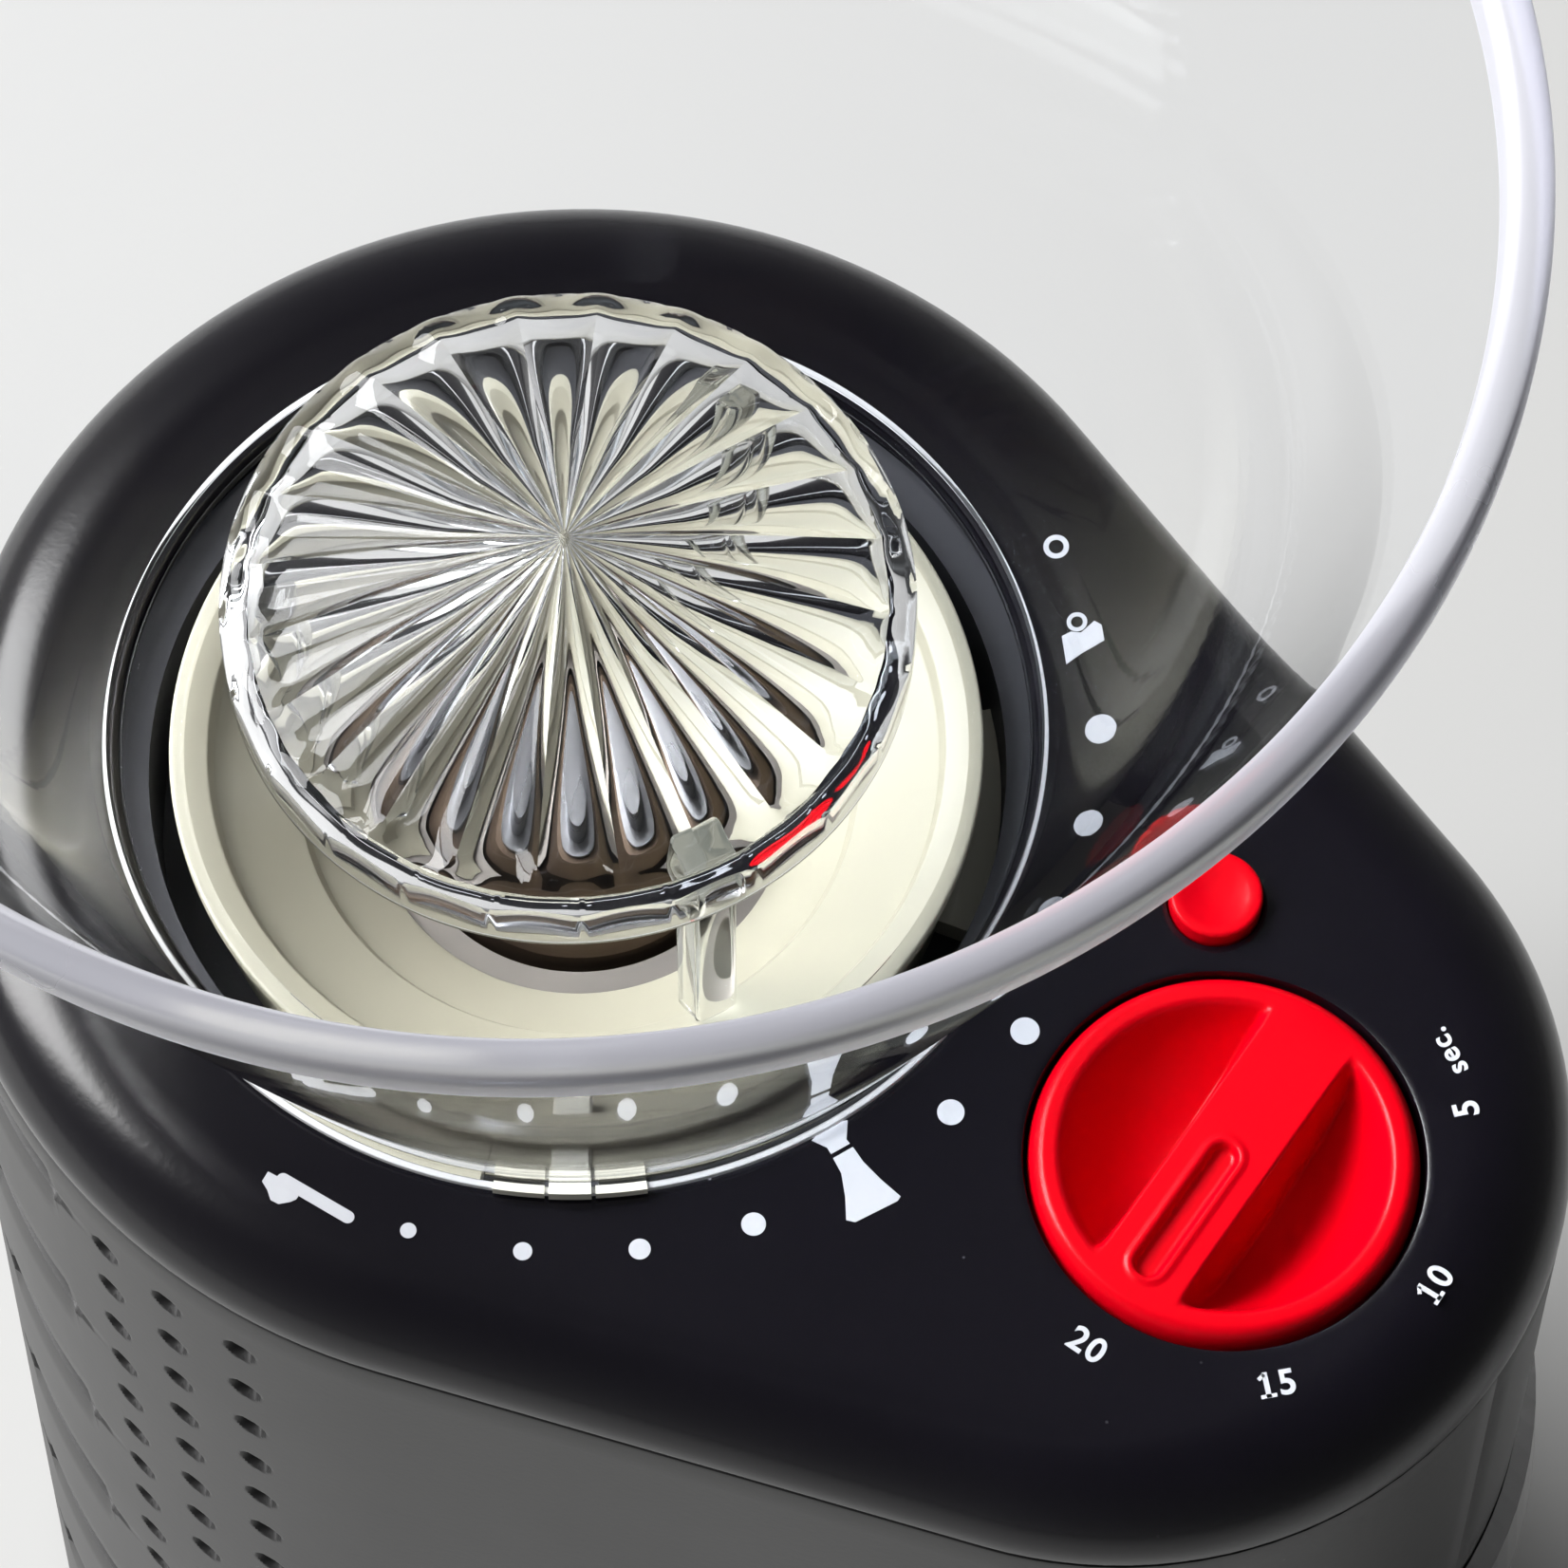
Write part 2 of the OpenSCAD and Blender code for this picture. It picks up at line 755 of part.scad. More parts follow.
// Low domed cover over the burrs, on three legs that stand in the funnel
module burr_guard() {
    crown = deck_h + guard_h;
    leg_in = guard_r - 5.6;
    leg_out = guard_r - 2;
    color([0.92, 0.94, 0.96, 0.35])
        from_axis() {
            rotate_extrude()
                polygon([[0, crown], [13, crown - 3.6], [guard_r - 0.8, crown - 9.3],
                    [guard_r, crown - 10.3], [guard_r, crown - 15.5], [guard_r - 1.8, crown - 15.5],
                    [guard_r - 1.8, crown - 11.6], [13, crown - 6.4], [0, crown - 2.8]]);
            for (a = leg_angles)
                rotate([90, 0, a]) translate([0, 0, -leg_w / 2])
                    linear_extrude(leg_w)
                        polygon([[leg_in, funnel_at(leg_in)], [leg_out, funnel_at(leg_out)],
                            [leg_out, crown - 13], [leg_in, crown - 8.6]]);
        }
}

// Controls

module timer_knob() {
    top = deck_h + knob_top;
    dish_r = knob_r - 1.8;
    color([0.85, 0.03, 0.03])
        from_axis(knob_x)
            difference() {
                rounded_disc(knob_r, knob_low, top, 1.5, 2.4);
                difference() {
                    rotate_extrude()
                        polygon([[0, top - 6.6], [6, top - 6.3], [10.8, top - 5],
                            [dish_r - 0.8, top - 1], [dish_r, top + 0.1], [0, top + 0.1]]);
                    translate([-bar_w / 2, -knob_r, knob_low]) cube([bar_w, 2 * knob_r, 20]);
                }
                translate([-1.1, -11.4, top - 0.7]) cube([2.2, 11.9, 2]);
                post(timer_r, knob_low - 1, deck_h - 2);
            }
}

module timer_shaft() {
    color([0.75, 0.75, 0.77])
        from_axis(knob_x) post(timer_r, board_top + 0.6, deck_h - 2);
}

module timer_unit() {
    color([0.08, 0.22, 0.12])
        from_axis(knob_x)
            difference() {
                union() {
                    translate([-8.5, -8.5, board_top]) cube([17, 17, 6]);
                    post(5, board_top, pocket_base - 0.4);
                }
                post(timer_r + shaft_gap, board_top + 0.5, deck_h);
            }
}

module start_button() {
    color([0.85, 0.03, 0.03])
        from_axis(button_x, button_y) {
            difference() {
                rounded_disc(button_r, flange_low, deck_h + 1.5, 0.7);
                translate([0, 0, deck_h + 8.2]) sphere(r = 7.3);
            }
            post(button_r + 0.6, flange_low, flange_low + flange_t);
            post(1.3, board_top + plunger_h + press_depth + joint_gap, flange_low + 1);
        }
}

module start_switch() {
    color([0.12, 0.12, 0.13])
        from_axis(button_x, button_y, board_top) {
            translate([-3, -3, 0]) cube([6, 6, 2]);
            cylinder(h = plunger_h, r = 1.2);
        }
}

// Round wire wound into a helix with closed ends
module button_spring() {
    sides = 8;
    turn_steps = 16;
    steps = spring_turns * turn_steps;
    low = board_top + 2 + spring_wire;
    rise = flange_low - spring_wire - low;
    points = [for (i = [0:steps], j = [0:sides - 1])
        let (
            turn = i * 360 / turn_steps,
            round = j * 360 / sides,
            out = spring_r + spring_wire * cos(round))
        [out * cos(turn), out * sin(turn), low + rise * i / steps + spring_wire * sin(round)]];
    sheet = [for (i = [0:steps - 1], j = [0:sides - 1])
        let (here = i * sides, next = (j + 1) % sides)
        each [
            [here + j, here + sides + j, here + next],
            [here + next, here + sides + j, here + sides + next]]];
    caps = [
        [for (j = [0:sides - 1]) j],
        [for (j = [sides - 1:-1:0]) steps * sides + j]];
    color([0.7, 0.7, 0.72])
        from_axis(button_x, button_y) polyhedron(points = points, faces = concat(sheet, caps));
}

module control_board() {
    color([0.05, 0.25, 0.12])
        difference() {
            intersection() {
                from_axis(front_c) post(31, board_low, board_top);
                translate([hopper_x + 43, -40, board_low - 1]) cube([60, 80, 5]);
            }
            for (side = [-1, 1]) from_axis(50, side * 25) post(1.6, board_low - 1, board_low + 5);
        }
}

module board_pillars() {
    color([0.7, 0.7, 0.72])
        for (side = [-1, 1])
            from_axis(50, side * 25) {
                post(2.6, board_top, deck_h - wall);
                post(1.55, board_low - 0.1, board_top);
                post(2.6, board_low - 1.7, board_low - 0.1);
            }
}

module board_parts() {
    color([0.1, 0.1, 0.35])
        from_axis() {
            translate([73, 0, 0]) post(5, board_low - 14, board_low);
            translate([68, 10, board_low - 11]) cube([9, 9, 11]);
            translate([68, -20, board_low - 6]) cube([6, 8, 6]);
        }
}

module hopper_switch() {
    color([0.08, 0.08, 0.09])
        from_axis(-37, -7, collar_low - 1.5) {
            translate([0, 0, -8]) cube([6, 14, 8]);
            translate([1, 2, -10]) cube([4, 2, 3]);
            translate([1, 10, -10]) cube([4, 2, 3]);
        }
}

module cord_gland() {
    color([0.04, 0.04, 0.04])
        from_axis(-back_at(22), 0, 22)
            rotate([0, 90, 0])
                difference() {
                    union() {
                        translate([0, 0, -2.6]) cylinder(h = 2, r = 7.2);
                        translate([0, 0, -2.6]) cylinder(h = 8, r = 5);
                    }
                    translate([0, 0, -5]) cylinder(h = 20, r = 3.4);
                }
}

// Catcher jar

module jar_glass() {
    color([0.85, 0.92, 0.92, 0.4])
        from_axis(jar_x)
            rotate_extrude()
                polygon([[0, 6.4], [jar_r - 2, 6.4], [jar_r, 8.4], [jar_r, jar_h - 6],
                    [jar_r - 1.5, jar_h - 4], [jar_r - 1.5, jar_h], [jar_r - 3.6, jar_h],
                    [jar_r - 3.6, jar_h - 5], [jar_r - 2.4, jar_h - 7], [jar_r - 2.4, 12],
                    [jar_r - 4, 10.4], [0, 10.4]]);
}

module jar_band() {
    color([0.05, 0.05, 0.05])
        from_axis(jar_x) ring(jar_r + 1.2, jar_r, 34, 68);
}

module jar_lid() {
    color([0.05, 0.05, 0.05])
        from_axis(jar_x)
            difference() {
                union() {
                    post(jar_r, jar_h, jar_h + 4.5);
                    ring(jar_r - 3.7, jar_r - 5.2, jar_h - 5, jar_h);
                }
                post(11, jar_h - 1, jar_h + 6);
            }
}

base_plate();
rubber_feet();
base_screws();
left_housing();
right_housing();
hood_trim();
bay_liner();
top_deck();
deck_screws();
grind_chamber();
chute();
chute_gasket();
gearbox_housing();
gearbox_cover();
gearbox_screws();
output_bearing();
output_bushing();
idler_pin();
motor_can();
stator();
end_bell();
brush_holders();
motor_cradle();
motor_damper();
control_board();
board_parts();
board_pillars();
timer_unit();
start_switch();
button_spring();
hopper_switch();
cord_gland();
adjusting_ring();
hopper_bowl();
burr_guard();
burr_carrier();
ring_burr();
ring_burr_screws();
cone_burr();
drive_shaft();
burr_bolt();
sweeper();
output_gear();
idler_gear();
armature();
commutator();
motor_shaft();
motor_pinion();
cooling_fan();
timer_knob();
timer_shaft();
start_button();
jar_glass();
jar_band();
jar_lid();
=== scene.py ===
import json
from math import acos, asin, cos, hypot, pi, radians, sin, sqrt, tan

import bmesh
import bpy
from mathutils import Matrix, Vector


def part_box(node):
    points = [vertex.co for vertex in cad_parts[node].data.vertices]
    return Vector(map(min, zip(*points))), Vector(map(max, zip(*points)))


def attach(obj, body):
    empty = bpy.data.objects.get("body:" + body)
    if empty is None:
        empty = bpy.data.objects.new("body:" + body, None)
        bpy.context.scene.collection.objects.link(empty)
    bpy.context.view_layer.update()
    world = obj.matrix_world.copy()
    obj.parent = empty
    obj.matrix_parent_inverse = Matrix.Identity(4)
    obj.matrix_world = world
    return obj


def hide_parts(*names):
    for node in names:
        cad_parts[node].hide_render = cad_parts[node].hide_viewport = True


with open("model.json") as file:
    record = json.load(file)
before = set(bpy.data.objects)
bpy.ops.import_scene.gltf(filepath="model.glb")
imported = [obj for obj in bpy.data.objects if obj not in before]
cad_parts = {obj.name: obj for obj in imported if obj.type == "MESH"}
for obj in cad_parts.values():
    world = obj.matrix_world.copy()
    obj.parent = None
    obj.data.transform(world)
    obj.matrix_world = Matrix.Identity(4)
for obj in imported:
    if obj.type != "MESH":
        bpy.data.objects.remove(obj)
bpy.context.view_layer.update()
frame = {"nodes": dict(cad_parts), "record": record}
nodes = frame["nodes"]
scene = bpy.context.scene
scene.view_settings.view_transform = "Standard"
print("frame loaded:", len(nodes), "nodes")

# Pieces are drawn in millimetres round the hopper's axis; piece() puts them in place
mm = 0.001
merge = 1e-4  # points closer than this become one
axisX = (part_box("hopper_bowl")[0].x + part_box("hopper_bowl")[1].x) / 2
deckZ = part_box("top_deck")[1].z / mm
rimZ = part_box("hopper_bowl")[1].z / mm

# The egg outline at the parting line; the wall gets wider below it
egg = {"backR": 51.0, "frontR": 35.5, "frontC": 50.0, "flare": 0.04, "partingZ": deckZ - 7.2,
       "wall": 2.5, "bottomZ": 2.0}
eggTurn = acos((egg["backR"] - egg["frontR"]) / egg["frontC"])
eggFront = egg["frontR"] * eggTurn
eggSide = sqrt(egg["frontC"] ** 2 - (egg["backR"] - egg["frontR"]) ** 2)
eggHalf = eggFront + eggSide + egg["backR"] * (pi - eggTurn)


def eggPoint(s, z, grow=0.0):
    # s is the way along the outline from the nose; past the back it returns on the other side
    side = 1 if s <= eggHalf else -1
    s = s if s <= eggHalf else 2 * eggHalf - s
    grow += egg["flare"] * max(0.0, egg["partingZ"] - z)
    if s < eggFront:
        angle, centre, radius = s / egg["frontR"], egg["frontC"], egg["frontR"]
    elif s < eggFront + eggSide:
        t = (s - eggFront) / eggSide
        angle, centre = eggTurn, egg["frontC"] * (1 - t)
        radius = egg["frontR"] + (egg["backR"] - egg["frontR"]) * t
    else:
        angle = eggTurn + (s - eggFront - eggSide) / egg["backR"]
        centre, radius = 0.0, egg["backR"]
    return Vector((centre + (radius + grow) * cos(angle), side * (radius + grow) * sin(angle), z))


def alongBack(degrees):
    # way along the outline of a direction from the hopper's axis, on the wide end
    return eggFront + eggSide + (radians(degrees) - eggTurn) * egg["backR"]


# Mesh helpers

def rounded(corners, steps=4, closed=True):
    # (x, y, rounding) corners to points, each corner turned into a small curve
    points = []
    for i, (x, y, fillet) in enumerate(corners):
        here = Vector((x, y))
        if fillet == 0 or (not closed and i in (0, len(corners) - 1)):
            points.append((x, y))
            continue
        before = Vector(corners[i - 1][:2]) - here
        after = Vector(corners[(i + 1) % len(corners)][:2]) - here
        reach = min(fillet / tan(before.angle(after) / 2),
                    before.length * 0.49, after.length * 0.49)
        start, end = here + before.normalized() * reach, here + after.normalized() * reach
        for k in range(steps + 1):
            t = k / steps
            points.append(tuple(start * (1 - t) ** 2 + here * 2 * t * (1 - t) + end * t * t))
    return points


def join(target, source):
    # adds one bmesh to another
    scratch = bpy.data.meshes.new("scratch")
    source.to_mesh(scratch)
    source.free()
    target.from_mesh(scratch)
    bpy.data.meshes.remove(scratch)
    return target


def lathe(profile, steps=96, closed=True, at=(0, 0), bm=None):
    # spins a profile of (radius, z) points about the axis at the given place
    made = bmesh.new()
    verts = [made.verts.new((r, 0, z)) for r, z in profile]
    edges = [made.edges.new(pair) for pair in zip(verts, verts[1:])]
    if closed:
        edges.append(made.edges.new((verts[-1], verts[0])))
    bmesh.ops.spin(made, geom=verts + edges, cent=(0, 0, 0), axis=(0, 0, 1), angle=2 * pi,
                   steps=steps, use_merge=True)
    bmesh.ops.remove_doubles(made, verts=made.verts, dist=merge)
    bmesh.ops.recalc_face_normals(made, faces=made.faces)
    bmesh.ops.translate(made, vec=(at[0], at[1], 0), verts=made.verts)
    return join(bm, made) if bm else made


def gridSheet(columns, rows, place, drop=None, bm=None):
    # a grid whose lines run through the given columns and rows; drop leaves faces out
    made = bmesh.new()
    nx, ny = len(columns) - 1, len(rows) - 1
    bmesh.ops.create_grid(made, x_segments=nx, y_segments=ny, size=1)
    if drop:
        gone = []
        for face in made.faces:
            middle = face.calc_center_median()
            if drop(int((middle.x + 1) / 2 * nx), int((middle.y + 1) / 2 * ny)):
                gone.append(face)
        bmesh.ops.delete(made, geom=gone, context="FACES")
    for vert in made.verts:
        i, j = round((vert.co.x + 1) / 2 * nx), round((vert.co.y + 1) / 2 * ny)
        vert.co = place(columns[i], rows[j])
    return join(bm, made) if bm else made


def arcBlock(low, high, inner, outer, middle, half, bm, steps=8):
    # a block bent round the hopper's axis, from one radius to another
    made = bmesh.new()
    start = radians(middle - half)
    verts = [made.verts.new((r * cos(start), r * sin(start), z))
             for r, z in ((inner, low), (outer, low), (outer, high), (inner, high))]
    bmesh.ops.spin(made, geom=[made.faces.new(verts)], cent=(0, 0, 0), axis=(0, 0, 1), steps=steps,
                   angle=2 * radians(half))
    bmesh.ops.recalc_face_normals(made, faces=made.faces)
    return join(bm, made)


def fillLevel(bm, z, normal=1):
    # fills the flat between the open loops at one height, holes left open
    edges = [e for e in bm.edges if e.is_boundary and all(abs(v.co.z - z) < 1e-3 for v in e.verts)]
    bmesh.ops.triangle_fill(bm, use_beauty=True, use_dissolve=False, edges=edges,
                            normal=(0, 0, normal))


def overDeck(section):
    # rows of (radius, height over the deck, rounding) to corners
    return [(r, deckZ + height, rounding) for r, height, rounding in section]


def spread(low, high, count):
    # evenly spaced values, both ends included
    return [low + (high - low) * k / count for k in range(count)] + [high]


def piece(name, bm, body, finish, replaced=(), sharp=40):
    # makes the finished object; edges steeper than sharp stay crisp
    bmesh.ops.scale(bm, vec=(mm, mm, mm), verts=bm.verts)
    bmesh.ops.translate(bm, vec=(axisX, 0, 0), verts=bm.verts)
    mesh = bpy.data.meshes.new(name)
    bm.to_mesh(mesh)
    bm.free()
    mesh.shade_smooth()
    mesh.set_sharp_from_angle(angle=radians(sharp))
    for one in finish if isinstance(finish, tuple) else (finish,):
        mesh.materials.append(one)
    made = bpy.data.objects.new(name, mesh)
    scene.collection.objects.link(made)
    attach(made, body)
    if replaced:
        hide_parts(*replaced)
    return made


# Shader groups, each used by several finishes

def newGroup(name, inputs, outputs):
    group = bpy.data.node_groups.new(name, "ShaderNodeTree")
    for label, value in inputs.items():
        socket = group.interface.new_socket(name=label, in_out="INPUT",
                                            socket_type="NodeSocketFloat")
        socket.default_value = value
    for label in outputs:
        group.interface.new_socket(name=label, in_out="OUTPUT", socket_type="NodeSocketFloat")
    start, end = group.nodes.new("NodeGroupInput"), group.nodes.new("NodeGroupOutput")
    return group, start, end


def node(tree, kind, links=(), **values):
    made = tree.nodes.new(kind)
    for key, value in values.items():
        if hasattr(made, key):
            setattr(made, key, value)
        else:
            made.inputs[key.replace("_", " ")].default_value = value
    for socket, source in links:
        tree.links.new(source, made.inputs[socket])
    return made


def mathNode(tree, operation, first, second=None, clamp=False):
    made = tree.nodes.new("ShaderNodeMath")
    made.operation, made.use_clamp = operation, clamp
    for socket, value in zip(made.inputs, (first, second)):
        if value is None:
            continue
        if isinstance(value, (int, float)):
            socket.default_value = value
        else:
            tree.links.new(value, socket)
    return made.outputs[0]


def wander(group, pattern, start, end):
    # lets the roughness stray from its middle value with a pattern
    shift = mathNode(group, "SUBTRACT", pattern, 0.5)
    shift = mathNode(group, "MULTIPLY", shift, start.outputs["Spread"])
    rough = mathNode(group, "ADD", start.outputs["Roughness"], shift, True)
    group.links.new(rough, end.inputs["Roughness"])


def makeGrain():
    # fine moulded grain: its height, a roughness that wanders, and a soft cloudy tint
    group, start, end = newGroup("mouldedGrain", {"Scale": 900, "Roughness": 0.4, "Spread": 0.1},
                                 ("Height", "Roughness", "Tint"))
    place = node(group, "ShaderNodeTexCoord").outputs["Object"]
    fine = node(group, "ShaderNodeTexNoise", [("Vector", place), ("Scale", start.outputs["Scale"])],
                Detail=3.0, Roughness=0.6).outputs["Fac"]
    cloud = node(group, "ShaderNodeTexNoise", [("Vector", place)], Scale=38.0, Detail=4.0,
                 Roughness=0.55).outputs["Fac"]
    wander(group, cloud, start, end)
    group.links.new(fine, end.inputs["Height"])
    group.links.new(cloud, end.inputs["Tint"])
    return group


def makeDust():
    # sparse specks of dust, a share of the cells of a Voronoi pattern
    group, start, end = newGroup("dustSpecks", {"Scale": 260, "Size": 0.035, "Share": 0.2},
                                 ("Mask",))
    place = node(group, "ShaderNodeTexCoord").outputs["Object"]
    cells = node(group, "ShaderNodeTexVoronoi",
                 [("Vector", place), ("Scale", start.outputs["Scale"])])
    near = mathNode(group, "LESS_THAN", cells.outputs["Distance"], start.outputs["Size"])
    pick = node(group, "ShaderNodeSeparateColor", [("Color", cells.outputs["Color"])])
    chosen = mathNode(group, "LESS_THAN", pick.outputs["Red"], start.outputs["Share"])
    faint = mathNode(group, "MULTIPLY", near, chosen)
    faint = mathNode(group, "MULTIPLY", faint, pick.outputs["Green"])
    group.links.new(faint, end.inputs["Mask"])
    return group


def makeTurned():
    # fine turning lines about the upright axis
    group, start, end = newGroup("turnedLines", {"Scale": 60, "Roughness": 0.3, "Spread": 0.2},
                                 ("Height", "Roughness"))
    place = node(group, "ShaderNodeTexCoord").outputs["Object"]
    stretch = node(group, "ShaderNodeMapping", [("Vector", place)])
    stretch.inputs["Scale"].default_value = (1, 1, 40)
    lines = node(group, "ShaderNodeTexNoise",
                 [("Vector", stretch.outputs[0]), ("Scale", start.outputs["Scale"])],
                 Detail=2.0).outputs["Fac"]
    wander(group, lines, start, end)
    group.links.new(lines, end.inputs["Height"])
    return group


grain, dust, turned = makeGrain(), makeDust(), makeTurned()
dustColour = (0.35, 0.35, 0.38, 1)


def shader(name, **sockets):
    # a material and its shader, with sockets set by name
    made = bpy.data.materials.new(name)
    made.use_nodes = True
    bsdf = made.node_tree.nodes["Principled BSDF"]
    for key, value in sockets.items():
        bsdf.inputs[key.replace("_", " ")].default_value = value
    return made, made.node_tree, bsdf


def texture(tree, bsdf, group, scale, rough, spread, depth, height="Height"):
    # puts a group in a material as its roughness and its bump, depth in mm
    look = node(tree, "ShaderNodeGroup", node_tree=group, Scale=scale, Roughness=rough,
                Spread=spread)
    bump = node(tree, "ShaderNodeBump", [("Height", look.outputs[height])], Strength=1.0,
                Distance=depth * mm)
    tree.links.new(look.outputs["Roughness"], bsdf.inputs["Roughness"])
    tree.links.new(bump.outputs[0], bsdf.inputs["Normal"])
    return look


def mixColour(tree, factor, first, second):
    made = tree.nodes.new("ShaderNodeMix")
    made.data_type = "RGBA"
    # the sockets of a colour mix: its factor, A and B
    for index, value in ((0, factor), (6, first), (7, second)):
        socket = made.inputs[index]
        if isinstance(value, (tuple, int, float)):
            socket.default_value = value
        else:
            tree.links.new(value, socket)
    return made.outputs[2]


def plastic(name, colour, rough, spread=0.1, scale=900, depth=0.02, cloud=0.08, specks=0.0,
            **sockets):
    # cloud is how far the tint strays, specks how much dust lies on it
    made, tree, bsdf = shader(name, **sockets)
    look = texture(tree, bsdf, grain, scale, rough, spread, depth)
    dark = tuple(c * (1 - cloud) for c in colour) + (1,)
    pale = tuple(min(1, c * (1 + cloud)) for c in colour) + (1,)
    shade = mixColour(tree, look.outputs["Tint"], dark, pale)
    if specks:
        bits = node(tree, "ShaderNodeGroup", node_tree=dust)
        amount = mathNode(tree, "MULTIPLY", bits.outputs["Mask"], specks)
        shade = mixColour(tree, amount, shade, dustColour)
    tree.links.new(shade, bsdf.inputs["Base Color"])
    return made


def metal(name, colour, rough, spread=0.15, scale=60, depth=0.01):
    made, tree, bsdf = shader(name, Metallic=1.0, Base_Color=colour + (1,))
    texture(tree, bsdf, turned, scale, rough, spread, depth)
    return made


def clear(name, colour, rough, ior, past=(0.96, 0.97, 0.98), through=1.0, scale=120, depth=0.01):
    # past colours the light that goes straight on, through is the share that isn't plain plastic
    made, tree, bsdf = shader(name, IOR=ior, Base_Color=colour + (1,), Transmission_Weight=through)
    texture(tree, bsdf, grain, scale, rough, rough, depth, "Tint")
    # light mirrored twice inside the wall goes on its way, and lamps shine through the plastic
    path = node(tree, "ShaderNodeLightPath")
    caught = mathNode(tree, "GREATER_THAN", path.outputs["Glossy Depth"], 1.5)
    past = node(tree, "ShaderNodeBsdfTransparent", Color=past + (1,)).outputs[0]
    shine = bsdf.outputs[0]
    for factor in (caught, path.outputs["Is Shadow Ray"]):
        mix = node(tree, "ShaderNodeMixShader", [(0, factor), (1, shine), (2, past)])
        shine = mix.outputs[0]
    tree.links.new(shine, tree.nodes["Material Output"].inputs["Surface"])
    return made


# plastics: colour, roughness, its spread, scale and depth of the grain, cloud, specks
# metals: colour, roughness, its spread, scale and depth of the turning lines
# clear ones: colour, roughness, index of refraction, light going past, share let through
finishes = {
    "body_plastic": plastic("bodyPlastic", (0.024, 0.0235, 0.024), 0.42, 0.08, 1400, 0.012,
                            0.06, 0.25),
    "deck_plastic": plastic("deckPlastic", (0.0036, 0.0030, 0.0054), 0.22, 0.08, 1400, 0.010,
                            0.06, 0.5),
    "trim_gloss": plastic("trimGloss", (0.006, 0.006, 0.007), 0.08, 0.04, 300, 0.004),
    "jar_sleeve": plastic("jarSleeve", (0.012, 0.012, 0.013), 0.55, 0.1, 1600, 0.02),
    "rubber_black": plastic("blackRubber", (0.014, 0.014, 0.014), 0.75, 0.1, 1200, 0.03),
    "inner_plastic": plastic("innerPlastic", (0.035, 0.036, 0.042), 0.45, 0.1, 900, 0.015),
    "steel": metal("turnedSteel", (0.62, 0.62, 0.64), 0.28),
    "burr_steel": metal("groundSteel", (0.34, 0.31, 0.28), 0.42, 0.2, 90, 0.02),
    "brass": metal("turnedBrass", (0.72, 0.52, 0.24), 0.3),
    "iron_core": metal("ironCore", (0.32, 0.2, 0.12), 0.45),
    "clear_plastic": clear("clearPlastic", (0.97, 0.975, 0.985), 0.03, 1.42, (0.82, 0.84, 0.86)),
    "cream_plastic": plastic("creamPlastic", (0.40, 0.38, 0.295), 0.35, 0.1, 700, 0.01, 0.03),
    "red_plastic": plastic("redPlastic", (0.60, 0.0, 0.006), 0.24, 0.06, 500, 0.006, 0.0,
                           Specular_IOR_Level=0.15),
    "board_green": plastic("boardGreen", (0.01, 0.09, 0.03), 0.4, 0.1, 400, 0.02),
    "jar_glass": clear("jarGlass", (0.95, 0.98, 0.97), 0.005, 1.5),
}
printWhite = plastic("printWhite", (0.54, 0.55, 0.585), 0.5, 0.1, 1800, 0.012, 0.03)
bowlPlastic = clear("bowlPlastic", (0.985, 0.99, 1.0), 0.015, 1.09, (0.93, 0.94, 0.95))
# painted light: half of the rim band is pale, diffuse lavender plastic, standing in for the
# brightness the clear rim picks up from the pale surroundings
rimPlastic = clear("rimPlastic", (0.74, 0.74, 0.82), 0.3, 1.3, (0.9, 0.91, 0.93), 0.5)
# painted highlight: a whiter, mostly diffuse plastic for the foot's edge, standing in for the thin
# bright glint along it
paintedGlintPlastic = clear("paintedGlintPlastic", (0.90, 0.91, 0.93), 0.35, 1.4, (0.9, 0.91, 0.93), 0.15)
indexPlastic = plastic("indexPlastic", (0.78, 0.76, 0.66), 0.4, 0.08, 900, 0.01, 0.03)
# a darker, browner steel for the cone burr deep in the throat
darkBrownSteel = metal("darkBrownSteel", (0.13, 0.095, 0.07), 0.5, 0.2, 90, 0.03)

# each node that came with the frame gets the finish of its slot; the cone burr instead gets a
# darker, browner steel than the ring burr
slots = {row["node"]: row["material_slot"] for row in frame["record"]["subparts"]}
for name, part in nodes.items():
    part.data.materials.clear()
    part.data.materials.append(darkBrownSteel if name == "cone_burr" else finishes[slots[name]])
print("finishes made")


# Housing: two halves with a grip of dimples and slots, a parting line above and a seam at the nose
housing = {"bayHalf": 31.8, "bayLow": 6.0, "bayHigh": 104.0, "gap": 0.4, "thinner": 0.1,
           "dimpleAngles": (85.4, 93.2, 100.6, 131.4, 138.8, 146.6), "dimpleTop": 15.4,
           "dimplePitch": 8.2, "dimpleRows": 17, "dimpleR": 1.4, "dimpleDepth": 1.6,
           "slotFrom": 108.8, "slotTo": 123.2, "slotEvery": 3, "slotR": 1.9, "slotDepth": 1.4,
           # (height, growth) rows at both ends of the wall
           "foot": ((0, -0.8), (0.25, -0.25), (0.8, 0)),
           "top": ((-0.4, 0), (-0.08, -0.08), (0, -0.35)),
           # share of the nose: way along the outline and how far the seam is sunk there
           "seam": {0.002: (0.05, 0.25), 0.008: (0.3, 0.06)}, "backSeam": 0.2,
           # mesh lines close to each dimple and slot; gaps over coarse are cut into steps
           "fine": (-1.75, -1.5, -1.3, -1.1, -0.85, -0.45, 0, 0.45, 0.85, 1.1, 1.3, 1.5, 1.75),
           "coarse": 2.6, "step": 2.4, "noseColumns": 14}


def bayEdge(z):
    # way along the outline at which the bay's side wall meets the housing
    radius = egg["frontR"] + egg["flare"] * max(0.0, egg["partingZ"] - z)
    return egg["frontR"] * asin(housing["bayHalf"] / radius)


